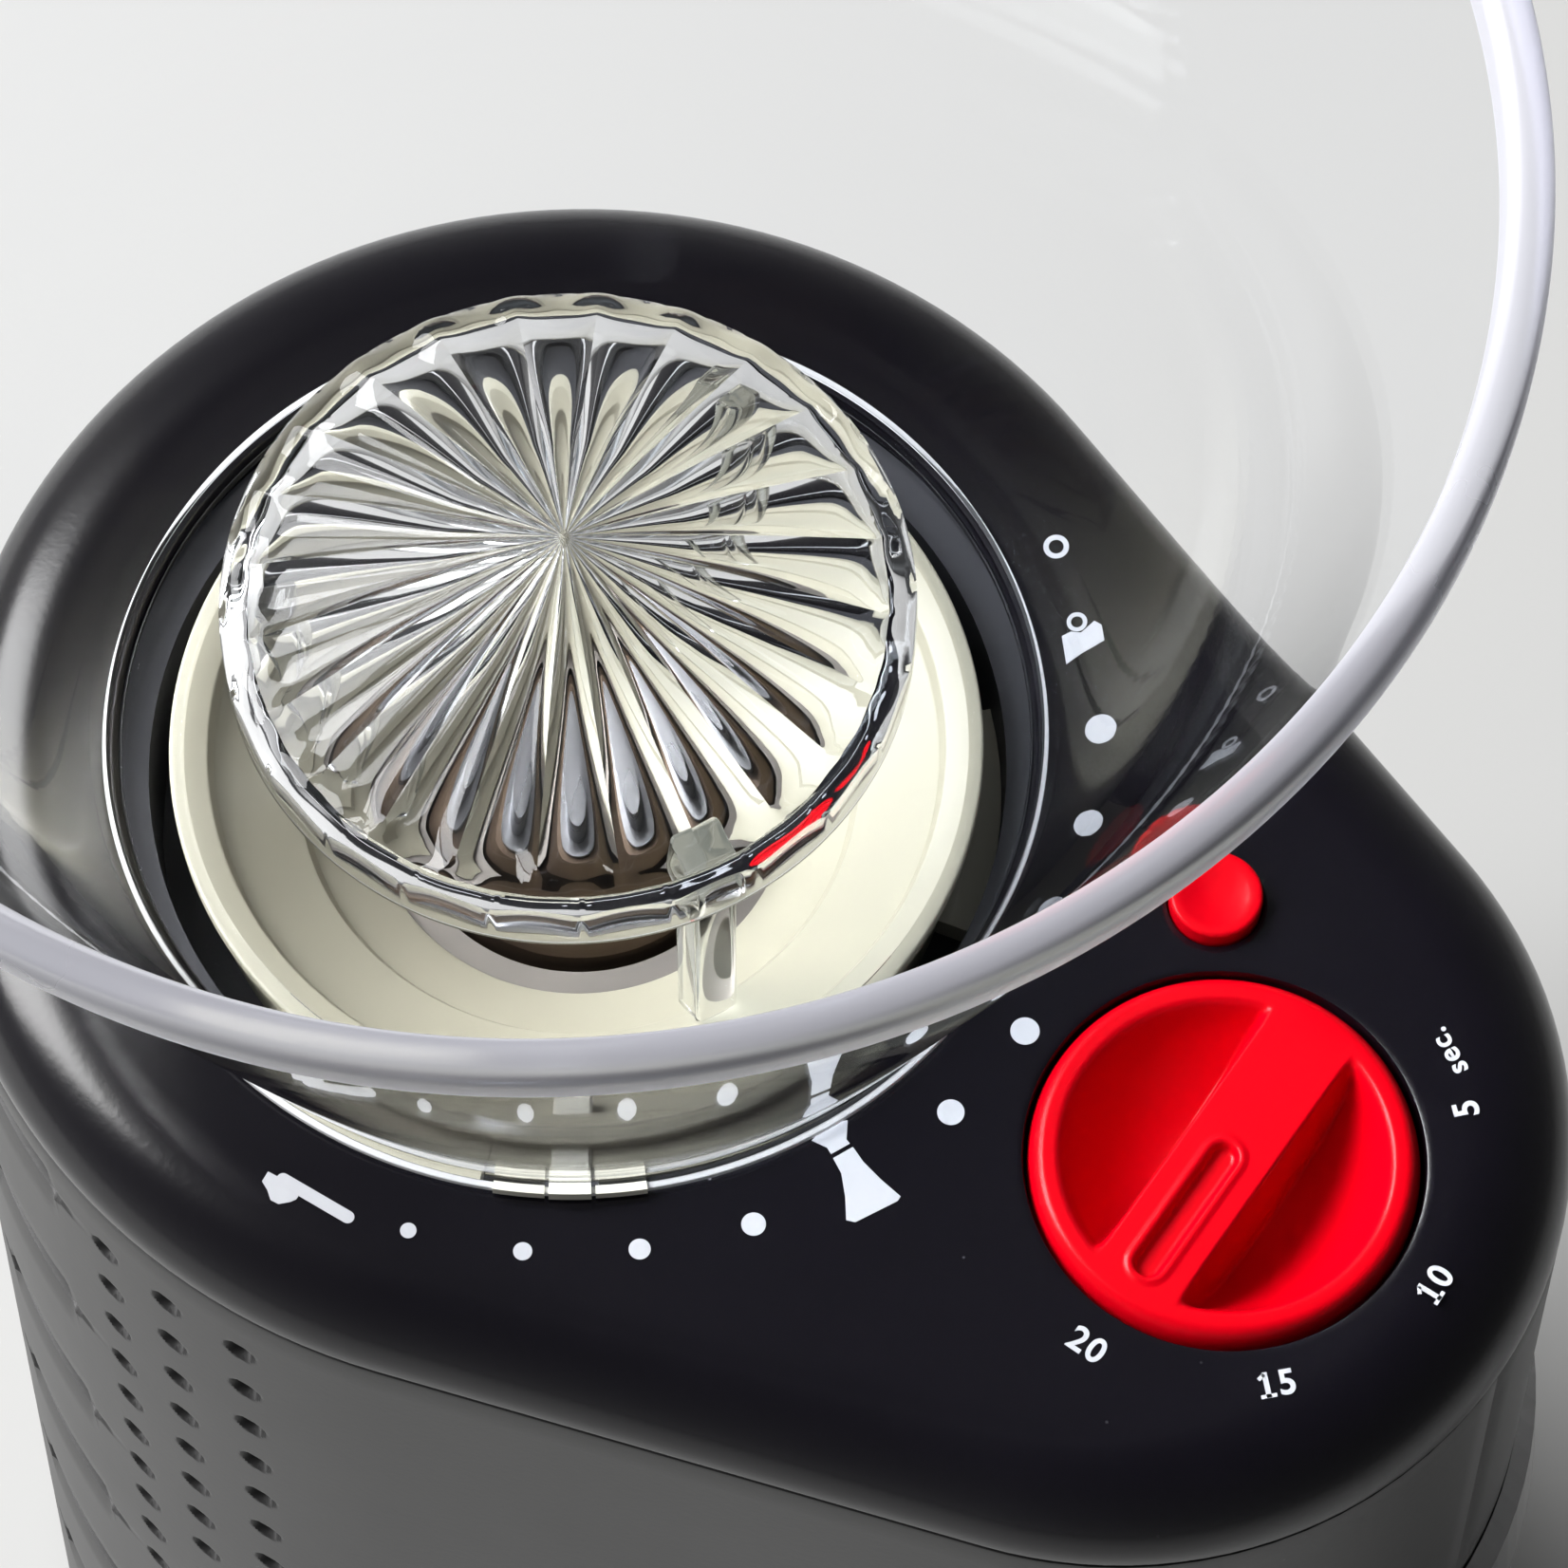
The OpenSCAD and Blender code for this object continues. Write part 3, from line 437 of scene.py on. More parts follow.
def makeHousing(name, replaced, side):
    # columns are shares of the bay's half width across the nose, then ways along the outline
    h = housing
    columns = [("bay", share) for share in h["seam"]]
    columns += [("bay", share) for share in spread(0, 1, h["noseColumns"])[1:]]
    edge = bayEdge(h["bayHigh"])
    columns += [("way", s) for s in spread(edge, eggFront, 5)[1:]]
    columns += [("way", s) for s in spread(eggFront, eggFront + eggSide, 8)[1:]]
    marks = [alongBack(a) for a in h["dimpleAngles"]]
    ends = [alongBack(h["slotFrom"]), alongBack(h["slotTo"])]
    ways = set()
    for mark in marks + ends:
        ways.update(round(mark + f, 4) for f in h["fine"])
    last = eggFront + eggSide
    for s in sorted(ways) + [eggHalf - 0.1]:
        if s - last > h["coarse"]:
            parts = int((s - last) / h["step"]) + 1
            columns += [("way", w) for w in spread(last, s, parts)[1:-1]]
        columns.append(("way", s))
        last = s
    levels = [deckZ - h["dimpleTop"] - h["dimplePitch"] * k for k in range(h["dimpleRows"])]
    slotLevels = levels[::h["slotEvery"]]
    top = egg["partingZ"] - h["gap"]
    rows = [(egg["bottomZ"] + z, grow) for z, grow in h["foot"]]
    rows += [(h["bayLow"], 0), (12.0, 0), (18.0, 0)]
    for level in reversed(levels):
        rows += [(level + f, 0) for f in h["fine"]]
        rows += [(level + h["dimplePitch"] / 2, 0)]
    rows = [r for r in rows if r[0] < top - 1 and abs(r[0] - h["bayHigh"]) > 0.2]
    rows += [(h["bayHigh"], 0)] + [(top + z, grow) for z, grow in h["top"]]
    rows.sort()
    lowRow = next(k for k, r in enumerate(rows) if r[0] == h["bayLow"])
    highRow = next(k for k, r in enumerate(rows) if r[0] == h["bayHigh"])
    bayColumn = columns.index(("bay", 1.0))

    def sink(s, z):
        # how deep the grip is cut at a place on the wall
        deepest = 0
        for mark in marks:
            if abs(s - mark) < h["dimpleR"]:
                level = min(levels, key=lambda one: abs(one - z))
                d = hypot(s - mark, z - level) / h["dimpleR"]
                if d < 1:
                    deepest = max(deepest, h["dimpleDepth"] * (1 - d ** 4))
        if ends[0] - h["slotR"] < s < ends[1] + h["slotR"]:
            level = min(slotLevels, key=lambda one: abs(one - z))
            d = hypot(max(ends[0] - s, 0, s - ends[1]), z - level) / h["slotR"]
            if d < 1:
                deepest = max(deepest, h["slotDepth"] * (1 - d ** 4))
        return deepest

    def place(column, row):
        # the columns beside the bay lean with its edge, as the wall flares
        kind, value = column
        z, grow = row
        s = value * bayEdge(z) if kind == "bay" else value
        if kind == "way" and s < eggFront:
            share = (s - edge) / (eggFront - edge)
            s = bayEdge(z) + (eggFront - bayEdge(z)) * share
        if kind == "bay" and value in h["seam"]:
            s, sunk = h["seam"][value]
            grow -= sunk
        if s > eggHalf - h["backSeam"]:
            grow -= h["backSeam"]
        point = eggPoint(s, z, grow - sink(s, z))
        point.y *= side
        return point

    bm = gridSheet(columns, rows, place, lambda i, j: i < bayColumn and lowRow <= j < highRow)
    bmesh.ops.recalc_face_normals(bm, faces=bm.faces)
    # an open sheet has no outside of its own, so it is turned to face away from the middle
    outwards = sum((f.normal.dot(f.calc_center_median() - Vector((20, 0, f.calc_center_median().z)))
                    for f in list(bm.faces)[::50]))
    if outwards < 0:
        bmesh.ops.reverse_faces(bm, faces=bm.faces)
    bmesh.ops.solidify(bm, geom=list(bm.faces), thickness=egg["wall"] - h["thinner"])
    return piece(name, bm, "root", finishes["body_plastic"], (replaced,))


makeHousing("leftShell", "left_housing", -1)
makeHousing("rightShell", "right_housing", 1)
print("housing made")


# Deck with its rounded shoulder, the well for the hopper, the knob's pocket and the button's hole
deck = {"reach": 8.5, "drop": 6.8, "innerReach": 5.5, "innerDrop": 4.5, "lipR": 0.3, "skin": 2.5,
        "wellR": 36.9, "wellOuterR": 38.4, "wellLow": 9.8, "wellEdge": 0.35,
        "knobX": 60.0, "pocketR": 15.2, "pocketDepth": 9.0, "pocketWall": 1.2, "pocketFloor": 1.6,
        "buttonAt": (47.9, 17.3), "buttonR": 3.7, "buttonWall": 0.8, "buttonDepth": 5.5}


def deckTop(x, y):
    # height of the deck's surface over a point
    d = deck
    slope = (egg["backR"] - egg["frontR"]) / egg["frontC"]
    along = x - abs(y) * slope / sqrt(1 - slope ** 2)
    t = min(1.0, max(0.0, along / egg["frontC"]))
    radius = egg["backR"] + (egg["frontR"] - egg["backR"]) * t
    into = hypot(x - egg["frontC"] * t, y) - radius + d["reach"]
    return deckZ - d["drop"] * (1 - sqrt(1 - min(1.0, max(0.0, into) / d["reach"]) ** 2))


def makeDeck():
    d = deck
    z, low = deckZ, egg["partingZ"]
    arc = [radians(a) for a in range(0, 91, 6)]
    outer = [(-d["reach"] * (1 - cos(a)), z - d["drop"] * (1 - sin(a))) for a in arc]
    inner = [(-d["skin"] - d["innerReach"] * (1 - cos(a)),
              z - d["skin"] - d["innerDrop"] * (1 - sin(a))) for a in arc[::3]]
    rows = [(inner[-1][0] - 0.2, inner[-1][1])] + inner[::-1]
    rows += [(-d["skin"], low + 0.1), (-d["skin"] + 0.2, low), (-d["lipR"], low)]
    rows += [(-d["lipR"] * 0.3, low + d["lipR"] * 0.3), (0, low + d["lipR"])] + outer
    rows += [(-d["reach"] - 0.3, z)]
    ways = spread(0, eggFront, 24) + spread(eggFront, eggFront + eggSide, 12)[1:]
    ways += spread(eggFront + eggSide, eggHalf, 48)[1:]
    ways += [2 * eggHalf - s for s in reversed(ways[:-1])]
    bm = gridSheet(ways, rows, lambda s, row: eggPoint(s, row[1], row[0]))
    under = z - d["skin"]
    # the well's collar, from under the skin round to the deck's top
    r, wide, low = d["wellR"], d["wellOuterR"], z - d["wellLow"]
    lathe([(wide + 1.2, under), (wide + 0.2, under), (wide, under - 0.2), (wide, low + 0.2),
           (wide - 0.2, low), (r + 0.2, low), (r, low + 0.2), (r, z - d["wellEdge"]),
           (r + 0.1, z - 0.1), (r + d["wellEdge"], z), (r + 1.2, z)], 192, False, bm=bm)
    # the knob's pocket: its outside first, then its inside
    r, wide, floor = d["pocketR"], d["pocketR"] + d["pocketWall"], z - d["pocketDepth"]
    low, knobAt = floor - d["pocketFloor"], (d["knobX"], 0)
    lathe([(wide + 0.1, under), (wide, under - 0.2), (wide, low + 0.3), (wide - 0.3, low),
           (0, low)], 96, False, knobAt, bm)
    lathe([(0, floor), (r - 0.3, floor), (r, floor + 0.3), (r, z - 0.4), (r + 0.12, z - 0.12),
           (r + 0.4, z), (r + 0.7, z)], 96, False, knobAt, bm)
    # the button's hole
    r, wide, low = d["buttonR"], d["buttonR"] + d["buttonWall"], z - d["buttonDepth"]
    lathe([(wide + 0.1, under), (wide, under - 0.2), (wide, low), (r, low), (r, z - 0.3),
           (r + 0.09, z - 0.09), (r + 0.3, z), (wide, z)], 64, False, d["buttonAt"], bm)
    bmesh.ops.remove_doubles(bm, verts=bm.verts, dist=merge)
    fillLevel(bm, z, 1)
    fillLevel(bm, under, -1)
    bmesh.ops.recalc_face_normals(bm, faces=bm.faces)
    return piece("deckShell", bm, "root", finishes["deck_plastic"], ("top_deck",))


makeDeck()
print("deck made")


# Marks printed on the deck: dots, small signs for the brewing ways, and the seconds round the knob
marks = {"raise": 0.03, "ink": 0.04, "ringR": 41.9, "first": -84.06, "step": 12.0,
         "dotR": {1: 0.62, 2: 0.72, 3: 0.83, 4: 0.93, 6: 1.04, 7: 1.12, 8: 1.2, 9: 1.26, 10: 1.32},
         # a filter holder's basket, a filter cone, its carafe and a jug: place and outline,
         # in steps outwards and sideways
         "signs": ((0, ((0.1, -2.9), (1.0, -2.9), (1.4, -2.2), (1.95, -1.6), (1.95, -0.9),
                        (1.4, -0.2), (1.0, 0.1), (0.1, 0.1))),
                   (5, ((-4.4, -1.5), (-4.9, 0.2), (-4.4, 1.7), (-3.1, 0.8), (-2.7, 0.85),
                        (-2.7, -0.8), (-3.3, -0.8))),
                   (5, ((-2.35, -0.85), (-2.35, 0.9), (-0.9, 0.95), (1.0, 1.35), (2.9, 1.9),
                        (3.1, 1.5), (2.9, -2.1), (2.4, -2.6), (0.8, -1.7), (-1.0, -0.95))),
                   (11, ((-2.4, -2.2), (-2.2, 0.3), (-1.4, 0.5), (-0.6, 0.2), (0.7, 0.9),
                         (1.2, 0.4), (1.1, -1.0), (0.5, -1.2), (-0.9, -1.6)))),
         # the filter holder's handle, from end to end, and its half width
         "handle": (0.1, -1.6, 0.35, 4.2, 0.5),
         # place, middle, outer and inner radius
         "rings": ((11, (-0.7, 1.2), 0.85, 0.5), (12, (0.0, -0.6), 1.05, 0.62)),
         "dotSides": 32, "ringSides": 24,
         # angle and distance from the knob's middle
         "numbers": {"5": (47.0, 18.9), "10": (1.6, 18.5), "15": (-44.7, 18.3),
                     "20": (-90.9, 18.4)},
         "numberSize": 2.75, "bold": 0.022, "spacing": 1.12,
         "unitAngle": 61.5, "unitR": 19.3, "unitSize": 2.35,
         # bars added to a one, as shares of its size: length, height and tilt
         "oneFoot": (0.44, 0.11, 0), "oneFlag": (0.22, 0.11, 35)}


def stamp(outline, bm):
    # a flat printed shape a few hundredths of a millimetre thick
    made = bmesh.new()
    face = made.faces.new([made.verts.new((x, y, deckTop(x, y) + marks["raise"]))
                           for x, y in outline])
    if face.normal.z < 0:
        face.normal_flip()
    up = bmesh.ops.extrude_face_region(made, geom=[face])
    moved = [g for g in up["geom"] if isinstance(g, bmesh.types.BMVert)]
    bmesh.ops.translate(made, vec=(0, 0, marks["ink"]), verts=moved)
    bmesh.ops.recalc_face_normals(made, faces=made.faces)
    return join(bm, made)


def ring(x, y, radius, count):
    turns = [2 * pi * k / count for k in range(count)]
    return [(x + radius * cos(a), y + radius * sin(a)) for a in turns]


def capsule(x0, y0, x1, y1, radius, count=10):
    # outline of a bar with round ends
    way = Vector((x1 - x0, y1 - y0)).normalized()
    side = Vector((-way.y, way.x))
    points = []
    for end, reach in (((x1, y1), radius), ((x0, y0), -radius)):
        for k in range(count + 1):
            a = pi * k / count
            points.append(tuple(Vector(end) + side * reach * cos(a) + way * reach * sin(a)))
    return points


def atMark(index, shape):
    # shape in (outwards, sideways) steps from a place on the ring of marks
    a = radians(marks["first"] + marks["step"] * index)
    out, side = Vector((cos(a), sin(a))), Vector((-sin(a), cos(a)))
    return [tuple(out * (marks["ringR"] + x) + side * y) for x, y in shape]


def lettering(text, size, angle, radius, bm):
    # figures round the knob, their tops towards its middle
    curve = bpy.data.curves.new("figures", "FONT")
    curve.body, curve.size, curve.align_x, curve.align_y = text, size, "CENTER", "CENTER"
    curve.offset, curve.extrude, curve.resolution_u = size * marks["bold"], marks["ink"] / 2, 6
    curve.space_character = marks["spacing"]
    holder = bpy.data.objects.new("figures", curve)
    mesh = bpy.data.meshes.new_from_object(holder)
    made = bmesh.new()
    made.from_mesh(mesh)
    if text[0] == "1":
        # a foot and a small flag on the one
        left, low = min(v.co.x for v in made.verts), min(v.co.y for v in made.verts)
        high = max(v.co.y for v in made.verts)
        for x, y, (wide, tall, tilt) in (
                (left + 0.07 * size, low + 0.055 * size, marks["oneFoot"]),
                (left - 0.035 * size, high - 0.12 * size, marks["oneFlag"])):
            bar = bmesh.ops.create_cube(made, size=1)["verts"]
            bmesh.ops.scale(made, vec=(wide * size, tall * size, marks["ink"]), verts=bar)
            bmesh.ops.rotate(made, matrix=Matrix.Rotation(radians(tilt), 3, "Z"), verts=bar)
            bmesh.ops.translate(made, vec=(x, y, 0), verts=bar)
    a = radians(angle)
    made.transform(Matrix.Translation((deck["knobX"] + radius * cos(a), radius * sin(a),
                                       deckZ + marks["raise"] + marks["ink"] / 2))
                   @ Matrix.Rotation(a + pi / 2, 4, "Z"))
    join(bm, made)
    bpy.data.objects.remove(holder)
    bpy.data.curves.remove(curve)
    bpy.data.meshes.remove(mesh)


def makeMarks():
    m = marks
    bm = bmesh.new()
    for index, radius in m["dotR"].items():
        stamp(atMark(index, ring(0, 0, radius, m["dotSides"])), bm)
    stamp(atMark(0, capsule(*m["handle"])), bm)
    for index, outline in m["signs"]:
        stamp(atMark(index, outline), bm)
    for index, (x, y), outer, inner in m["rings"]:
        out, into = ring(x, y, outer, m["ringSides"]), ring(x, y, inner, m["ringSides"])
        for k in range(m["ringSides"]):
            stamp(atMark(index, (out[k - 1], out[k], into[k], into[k - 1])), bm)
    for text, (angle, radius) in m["numbers"].items():
        lettering(text, m["numberSize"], angle, radius, bm)
    lettering("sec.", m["unitSize"], m["unitAngle"], m["unitR"], bm)
    return piece("deckMarks", bm, "root", printWhite, sharp=30)


makeMarks()
print("marks made")


# Hopper bowl, spun with its wall, foot edge and rim; heights are over the deck or under the rim
bowl = {"rimR": 65.0, "bead": 3.0, "paintedPaleBand": 3.9, "footR": 37.5, "footLow": 0.3, "footHigh": 1.1,
        "footStep": 0.45, "footWall": 2.1, "mouthR": 30.5, "mouthLow": 1.5, "mouthHigh": 2.6,
        # outer wall: its low end's height, its high end's way in and down; then the inner wall
        "outer": (2.2, 1.2, 4.0), "inner": (3.0, 3.3, 3.6), "thick": 1.85,
        "flatten": (0.015, 0.03, 0.97, 0.985)}


def makeBowl():
    b = bowl
    z, rim, r, foot = deckZ, rimZ, b["rimR"], b["footR"]
    step = foot - b["footStep"]
    outside = (step, z + b["outer"][0]), (r - b["outer"][1], rim - b["outer"][2])
    inside = (r - b["inner"][1], rim - b["inner"][2]), (step - b["thick"], z + b["inner"][0])
    # points close to both ends keep the long walls flat to the light
    wall, lining = ([(p[0] + (q[0] - p[0]) * t, p[1] + (q[1] - p[1]) * t, 0) for t in b["flatten"]]
                    for p, q in (outside, inside))
    low, high = z + b["footLow"], z + b["footHigh"]
    corners = [(foot, low, 0.1), (foot, high - 0.2, 0.12), (step, high - 0.05, 0.1),
               outside[0] + (0.5,), *wall, outside[1] + (0.8,),
               (r, rim - b["bead"], 0.8), (r, rim, 1.5), (r - b["bead"], rim, 1.4),
               inside[0] + (1.0,), *lining, inside[1] + (0.5,),
               (b["mouthR"], z + b["mouthHigh"], 0.4), (b["mouthR"], z + b["mouthLow"], 0.3),
               (foot - b["footWall"], z + b["mouthLow"], 0.3), (foot - b["footWall"], low, 0.15)]
    bm = lathe(rounded(corners, 5), 256)
    for face in bm.faces:
        middle = face.calc_center_median()
        # the band under the rim gets the rim plastic, painted pale
        if middle.z > rim - b["paintedPaleBand"]:
            face.material_index = 1
        # painted highlight on the foot's edge: its faces get the whiter glint plastic
        elif middle.z < high and hypot(middle.x, middle.y) > step - 0.05:
            face.material_index = 2  # the foot's edge catches the light
    return piece("hopperBowl", bm, "hopper", (bowlPlastic, rimPlastic, paintedGlintPlastic),
                 ("hopper_bowl",), 30)


makeBowl()


# Pale pointer at the bowl's foot: a block through the edge with two thin wings, and a flat rib
# over the funnel's lip; angles and half widths are in degrees, radii and heights in mm
pointer = {"angle": -55.26, "half": 2.45, "wing": 8.9, "gap": 0.5, "inR": 36.7, "outR": 37.75,
           "wingInR": 36.95, "wingBack": 0.08, "low": 0.32, "high": 1.5, "wingHigh": 1.25,
           "ribR": (26.5, 34.2), "ribWide": 2.9, "ribHigh": 1.5, "ribMiddle": -0.52, "ribEdge": 0.2}


def makePointer():
    p = pointer
    bm = bmesh.new()
    low, turn, gap = deckZ + p["low"], p["angle"], p["half"] + p["gap"]
    arcBlock(low, deckZ + p["high"], p["inR"], p["outR"], turn, p["half"], bm)
    for side in (-1, 1):
        arcBlock(low, deckZ + p["wingHigh"], p["wingInR"], p["outR"] - p["wingBack"],
                 turn + side * (gap + p["wing"]) / 2, (p["wing"] - gap) / 2, bm)
    inner, outer = p["ribR"]
    rib = bmesh.ops.create_cube(bm, size=1)["verts"]
    bmesh.ops.scale(bm, vec=(outer - inner, p["ribWide"], p["ribHigh"]), verts=rib)
    bmesh.ops.translate(bm, vec=((outer + inner) / 2, 0, deckZ + p["ribMiddle"]), verts=rib)
    bmesh.ops.rotate(bm, matrix=Matrix.Rotation(radians(turn), 3, "Z"), verts=rib)
    bmesh.ops.bevel(bm, geom=list({e for v in rib for e in v.link_edges}), offset=p["ribEdge"],
                    segments=2, affect="EDGES")
    return piece("pointerFoot", bm, "hopper", indexPlastic)


makePointer()


# Burr guard: a fluted clear dome with a scalloped edge, on three legs
guard = {"r": 25.8, "crown": 36.0, "drop": 9.6, "bow": 1.18, "skirt": 5.6, "wall": 1.8,
         "under": 2.5,
         # flutes: full depth between the radii fadeIn and fadeOut, gone over the way fadeOver
         "flutes": 24, "deep": 1.15, "round": 2.2, "fadeIn": 9, "fadeOut": 21, "fadeOver": 3.2,
         "scallop": 0.35, "scallopR": 23.5,
         "legAngles": (-27.7, 92.3, 212.3), "legIn": 20.2, "legOut": 23.8, "legWidth": 3.6,
         "legLow": -6.8, "legSlope": 0.83, "legHeads": (1.4, 3.6)}


def makeGuard():
    g = guard
    top = deckZ + g["crown"]
    edge = top - g["drop"]
    low, inner = edge - g["skirt"], g["r"] - g["wall"]

    def crown(r):
        return top - g["drop"] * (r / g["r"]) ** g["bow"]

    dome = [(r, crown(r)) for r in spread(0, g["r"] - 0.9, 30)]
    skirt = [(g["r"] - 0.35, edge - 0.25), (g["r"], edge - 0.8), (g["r"], low + 0.5),
             (g["r"] - 0.5, low), (inner + 0.4, low), (inner, low + 0.4)]
    under = [(r, crown(r) - g["under"]) for r in spread(inner - 0.4, 0, 12)]
    bm = lathe(dome + skirt + under, g["flutes"] * 12, False)
    # flutes are sunk in the dome's upper side only, and its edge is scalloped with them
    for vert in bm.verts:
        x, y, z = vert.co
        r = hypot(x, y)
        if r < 0.2 or r > g["r"] - 0.2 or z < crown(r) - 0.6:
            continue
        turn = (Vector((x, y)).angle_signed(Vector((1, 0))) * g["flutes"] / (2 * pi)) % 1
        groove = 1 - (2 * abs(turn - 0.5)) ** g["round"]
        reach = min(1.0, r / g["fadeIn"])
        if r >= g["fadeOut"]:
            reach *= max(0.0, 1 - ((r - g["fadeOut"]) / g["fadeOver"]) ** 2)
        vert.co.z -= g["deep"] * groove * reach
        if r > g["scallopR"]:
            vert.co.z += g["scallop"] * cos(2 * pi * turn) * min(1, (r - g["scallopR"]))
    for angle in g["legAngles"]:
        leg = bmesh.new()
        bmesh.ops.create_cube(leg, size=1)
        for vert in leg.verts:
            outer = vert.co.x > 0
            r = g["legOut"] if outer else g["legIn"]
            foot = deckZ + g["legLow"] + (r - g["legIn"]) * g["legSlope"]
            head = edge - g["legHeads"][outer]
            vert.co = (r, vert.co.y * g["legWidth"], head if vert.co.z > 0 else foot)
        bmesh.ops.bevel(leg, geom=list(leg.edges), offset=0.5, offset_type="OFFSET", segments=3,
                        profile=0.5, affect="EDGES", material=-1)
        bmesh.ops.rotate(leg, matrix=Matrix.Rotation(radians(angle), 3, "Z"), verts=leg.verts)
        join(bm, leg)
    return piece("burrGuard", bm, "hopper", finishes["clear_plastic"], ("burr_guard",),
                 50)


makeGuard()
print("hopper and guard made")


# Carrier under the bowl: the cream funnel that holds the ring burr
carrier = {"section": ((31.6, 1.2, 0.3), (31.6, -0.4, 0.2), (30.4, -0.4, 0.2), (30.4, -11, 0.3),
                       (28.4, -11, 0.3), (28.4, -5.1, 0.5), (24, -9.5, 0.4), (24, -25.4, 0.4),
                       (21.1, -25.4, 0.1), (21.1, -11.8, 0), (16.5, -11.8, 0.2), (16.5, -10.5, 0.3),
                       (21.5, -6.6, 0.4), (22.0, -5.2, 0.4), (28.2, -0.8, 0.6), (28.6, 0.6, 0.4),
                       (30.4, 1.2, 0.3)),
           # blocks that stand out from the wall: low, high, outer radius, angle, half width, steps
           "blockInR": 30.1,
           "blocks": ((-11, -8.5, 33.5, 30, 17, 8), (-11, -8.5, 33.5, 150, 17, 8),
                      (-11, -8.5, 33.5, 270, 17, 8), (-1.8, 0, 36.4, -83, 17, 8),
                      (-1.6, -0.1, 34.1, -55, 45, 24))}


def makeCarrier():
    c = carrier
    bm = lathe(rounded(overDeck(c["section"]), 4), 192)
    for low, high, outer, angle, half, steps in c["blocks"]:
        arcBlock(deckZ + low, deckZ + high, c["blockInR"], outer, angle, half, bm, steps)
    return piece("funnelCarrier", bm, "hopper", finishes["cream_plastic"], ("burr_carrier",),
                 30)


makeCarrier()
print("carrier made")


# Timer knob: a dished disc with a grip bar across it and a sunk pointer on the bar
knob = {"r": 14.9, "top": 0.8, "edge": (1.3, 2.4),
        "section": ((0, -8.6, 0), (14.7, -8.6, 0.5), (14.7, -3.0, 0.5), (14.9, -2.6, 0.4)),
        # dishes: depth, slope beside the bar, bow, and how soon they fall away at the rim
        "barHalf": 3.4, "dishR": 12.95, "deep": 7.0, "slope": 1.15, "bow": 2.6, "ease": (0.2, 1.7),
        # its mesh: reach past its edge, columns close to the bar, shares of the way over from there
        "lip": 0.3, "beside": 2.0,
        "over": (0.03, 0.07, 0.12, 0.18, 0.26, 0.35, 0.45, 0.55, 0.64, 0.72, 0.79, 0.85, 0.9, 0.935,
                 0.965, 0.985, 1),
        # pointer: (growth, height) rings from its raised lip down to its floor
        "pointerY": (-12.4, 1.6), "pointerR": 1.85,
        "pointerRings": ((0.25, 0), (0, 0), (-0.2, 0.16), (-0.5, 0.18), (-0.72, 0.02),
                         (-0.85, -0.5), (-1.05, -0.75), (-1.4, -0.8))}


def makeKnob():
    k = knob
    top = deckZ + k["top"]
    across, fall = k["edge"]
    edge = [(k["r"] - across * (1 - cos(radians(a))), top - fall * (1 - sin(radians(a))))
            for a in range(9, 91, 9)]
    side = overDeck(k["section"]) + [(k["r"], top - fall, 0)]
    bm = lathe(rounded(side, 8, False) + edge, 192, False)

    def smoothStep(t):
        t = min(1, max(0, t))
        return t * t * (3 - 2 * t)

    def depth(x, y):
        # how deep the dish is at a place on the knob
        wall = smoothStep((abs(x) - k["barHalf"]) / k["slope"])
        inwards = max(0.0, k["dishR"] - hypot(x, y))
        t = min(1.0, inwards / (k["dishR"] - k["barHalf"]))
        early, over = k["ease"]
        return k["deep"] * wall * (1 - (1 - t) ** k["bow"]) * smoothStep((inwards + early) / over)

    columns = [("beside", x) for x in spread(0, k["beside"], 12)] + [("over", t) for t in k["over"]]
    along = [sin(pi / 2 * t) for t in spread(-1, 1, 64)]
    for side in (-1, 1):
        def place(column, w, side=side):
            # columns beside the bar keep their distance from it, except near the bar's ends
            kind, value = column
            x0, r1 = k["barHalf"] - k["lip"], k["dishR"] + k["lip"]
            half = sqrt(r1 ** 2 - x0 ** 2)
            start = Vector((x0, w * half))
            swing = acos(x0 / r1) * w
            end = Vector((r1 * cos(swing), r1 * sin(swing)))
            reach = end.x - x0
            near = min(1.0, reach / 4) * (value if kind == "beside" else k["beside"])
            away = near if kind == "beside" else near + (reach - near) * value
            spot = start.lerp(end, away / reach if reach > 1e-6 else 0)
            return Vector((side * spot.x, spot.y, top - depth(spot.x, spot.y)))
        gridSheet(columns, along, place, bm=bm)
    y0, y1 = k["pointerY"][0] + k["pointerR"], k["pointerY"][1] - k["pointerR"]
    loop = len(capsule(0, 0, 0, 1, 1))

    def onPointer(i, ring):
        growth, height = ring
        return Vector((*capsule(0, y0, 0, y1, k["pointerR"] + growth)[i % loop], top + height))

    gridSheet(list(range(loop + 1)), k["pointerRings"], onPointer, bm=bm)
    bmesh.ops.remove_doubles(bm, verts=bm.verts, dist=2e-3)
    fillLevel(bm, top, 1)
    floor = [e for e in bm.edges if e.is_boundary and e.verts[0].co.z < top - 0.7
             and abs(e.verts[0].co.x) < 2]
    bmesh.ops.contextual_create(bm, geom=floor)
    bmesh.ops.recalc_face_normals(bm, faces=bm.faces)
    bmesh.ops.translate(bm, vec=(deck["knobX"], 0, 0), verts=bm.verts)
    return piece("timerKnob", bm, "timer_knob", finishes["red_plastic"], ("timer_knob",),
                 80)


makeKnob()


# Start button with a shallow finger dish
button = {"section": ((0, -8.0, 0), (1.3, -8.0, 0.1), (1.3, -6.8, 0), (4.2, -6.8, 0.1),
                      (4.2, -5.8, 0.1), (3.6, -5.8, 0), (3.6, 1.5, 0.7), (2.8, 1.5, 0)),
          "dish": 0.45}


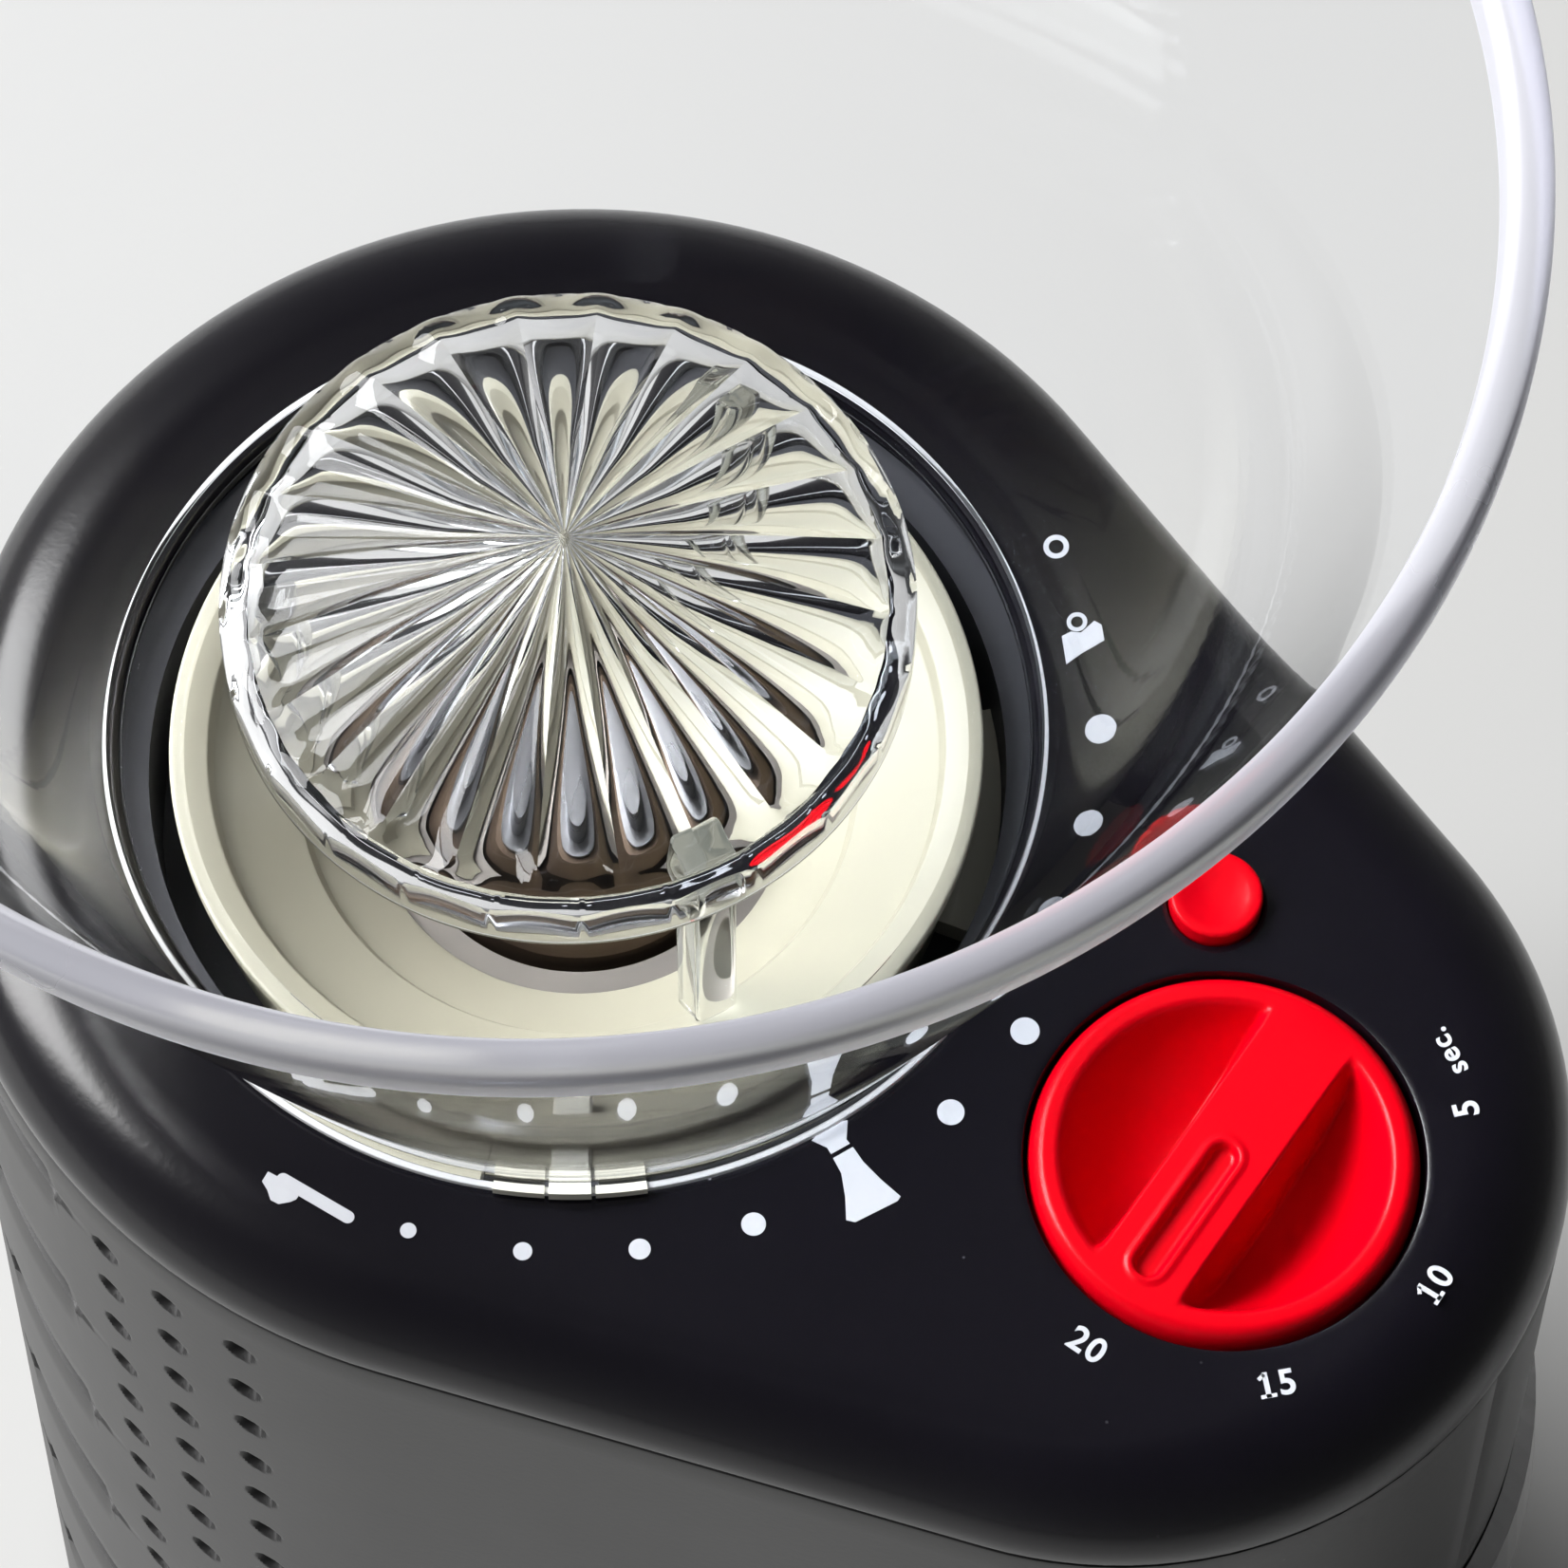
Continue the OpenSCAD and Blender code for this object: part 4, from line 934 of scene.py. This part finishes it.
def makeButton():
    corners = overDeck(button["section"])
    dishR, top, _ = corners[-1]
    dish = [(r, top - button["dish"] * (1 - (r / dishR) ** 2)) for r in spread(dishR, 0, 8)]
    bm = lathe(rounded(corners, 5, False) + dish[1:], 64, False, deck["buttonAt"])
    return piece("startButton", bm, "start_button", finishes["red_plastic"], ("start_button",),
                 50)


makeButton()
print("controls made")


# Floor, camera and light
stage = {"size": 4, "colour": (0.68, 0.68, 0.672, 1), "roughness": 0.6, "shine": 0.2}


def makeStage():
    bm = bmesh.new()
    bmesh.ops.create_grid(bm, x_segments=2, y_segments=2, size=stage["size"])
    mesh = bpy.data.meshes.new("floor")
    bm.to_mesh(mesh)
    bm.free()
    floor = bpy.data.objects.new("floor", mesh)
    scene.collection.objects.link(floor)
    pale = shader("paleFloor", Roughness=stage["roughness"], Base_Color=stage["colour"],
                  Specular_IOR_Level=stage["shine"])[0]
    mesh.materials.append(pale)


makeStage()

# angles in degrees, focal length and frame in image points, place in mm from the deck's middle
view = {"azimuth": 34.05, "elevation": 65.63, "roll": 0.73, "focal": 6500, "frame": 1652,
        "sensor": 36, "clip": (0.02, 50), "place": (125.5, -156.93, 435.33)}


def direction(azimuth, elevation):
    # from the object outwards; azimuth 0 is -y and 90 is +x
    az, el = radians(azimuth), radians(elevation)
    return Vector((sin(az) * cos(el), -cos(az) * cos(el), sin(el)))


def makeCamera():
    v = view
    az, roll = radians(v["azimuth"]), radians(v["roll"])
    back = direction(v["azimuth"], v["elevation"])
    right = Vector((cos(az), sin(az), 0))
    up = back.cross(right)
    right, up = right * cos(roll) + up * sin(roll), up * cos(roll) - right * sin(roll)
    lens = bpy.data.cameras.new("camera")
    lens.sensor_width = v["sensor"]
    lens.lens = v["focal"] * v["sensor"] / v["frame"]
    lens.clip_start, lens.clip_end = v["clip"]
    camera = bpy.data.objects.new("camera", lens)
    scene.collection.objects.link(camera)
    x, y, z = v["place"]
    camera.matrix_world = Matrix((
        (right.x, up.x, back.x, x * mm + axisX),
        (right.y, up.y, back.y, y * mm),
        (right.z, up.z, back.z, (z + deckZ) * mm),
        (0, 0, 0, 1)))
    scene.camera = camera


makeCamera()

# One large window, and a sky that is bright near the horizon and dimmer away from the window
window = {"azimuth": 284, "elevation": 40, "far": 1.9, "aim": 0.17, "size": (1.4, 1.1), "power": 67}
sky = {"low": 0.62, "high": 0.05, "curve": 0.6, "dim": 0.22, "azimuth": 285}


def makeLight():
    data = bpy.data.lights.new("window", "AREA")
    data.shape, data.energy = "RECTANGLE", window["power"]
    data.size, data.size_y = window["size"]
    made = bpy.data.objects.new("window", data)
    scene.collection.objects.link(made)
    away = direction(window["azimuth"], window["elevation"])
    made.location = Vector((axisX, 0, window["aim"])) + away * window["far"]
    made.rotation_euler = away.to_track_quat("Z", "Y").to_euler()
    world = bpy.data.worlds.new("studio")
    world.use_nodes = True
    scene.world = world
    tree = world.node_tree
    place = node(tree, "ShaderNodeTexCoord").outputs["Generated"]
    height = node(tree, "ShaderNodeSeparateXYZ", [("Vector", place)]).outputs["Z"]
    ramp = mathNode(tree, "POWER", mathNode(tree, "MAXIMUM", height, 0.0), sky["curve"])
    ramp = mathNode(tree, "MULTIPLY", ramp, sky["high"] - sky["low"])
    strength = mathNode(tree, "ADD", ramp, sky["low"])
    toward = node(tree, "ShaderNodeVectorMath", [(0, place)], operation="DOT_PRODUCT")
    toward.inputs[1].default_value = direction(sky["azimuth"], 0)
    bright = mathNode(tree, "MULTIPLY", toward.outputs["Value"], (1 - sky["dim"]) / 2)
    bright = mathNode(tree, "ADD", bright, (1 + sky["dim"]) / 2)
    strength = mathNode(tree, "MULTIPLY", strength, bright)
    background = tree.nodes["Background"]
    background.inputs["Color"].default_value = (1, 1, 1, 1)
    tree.links.new(strength, background.inputs["Strength"])


makeLight()
print("stage made")
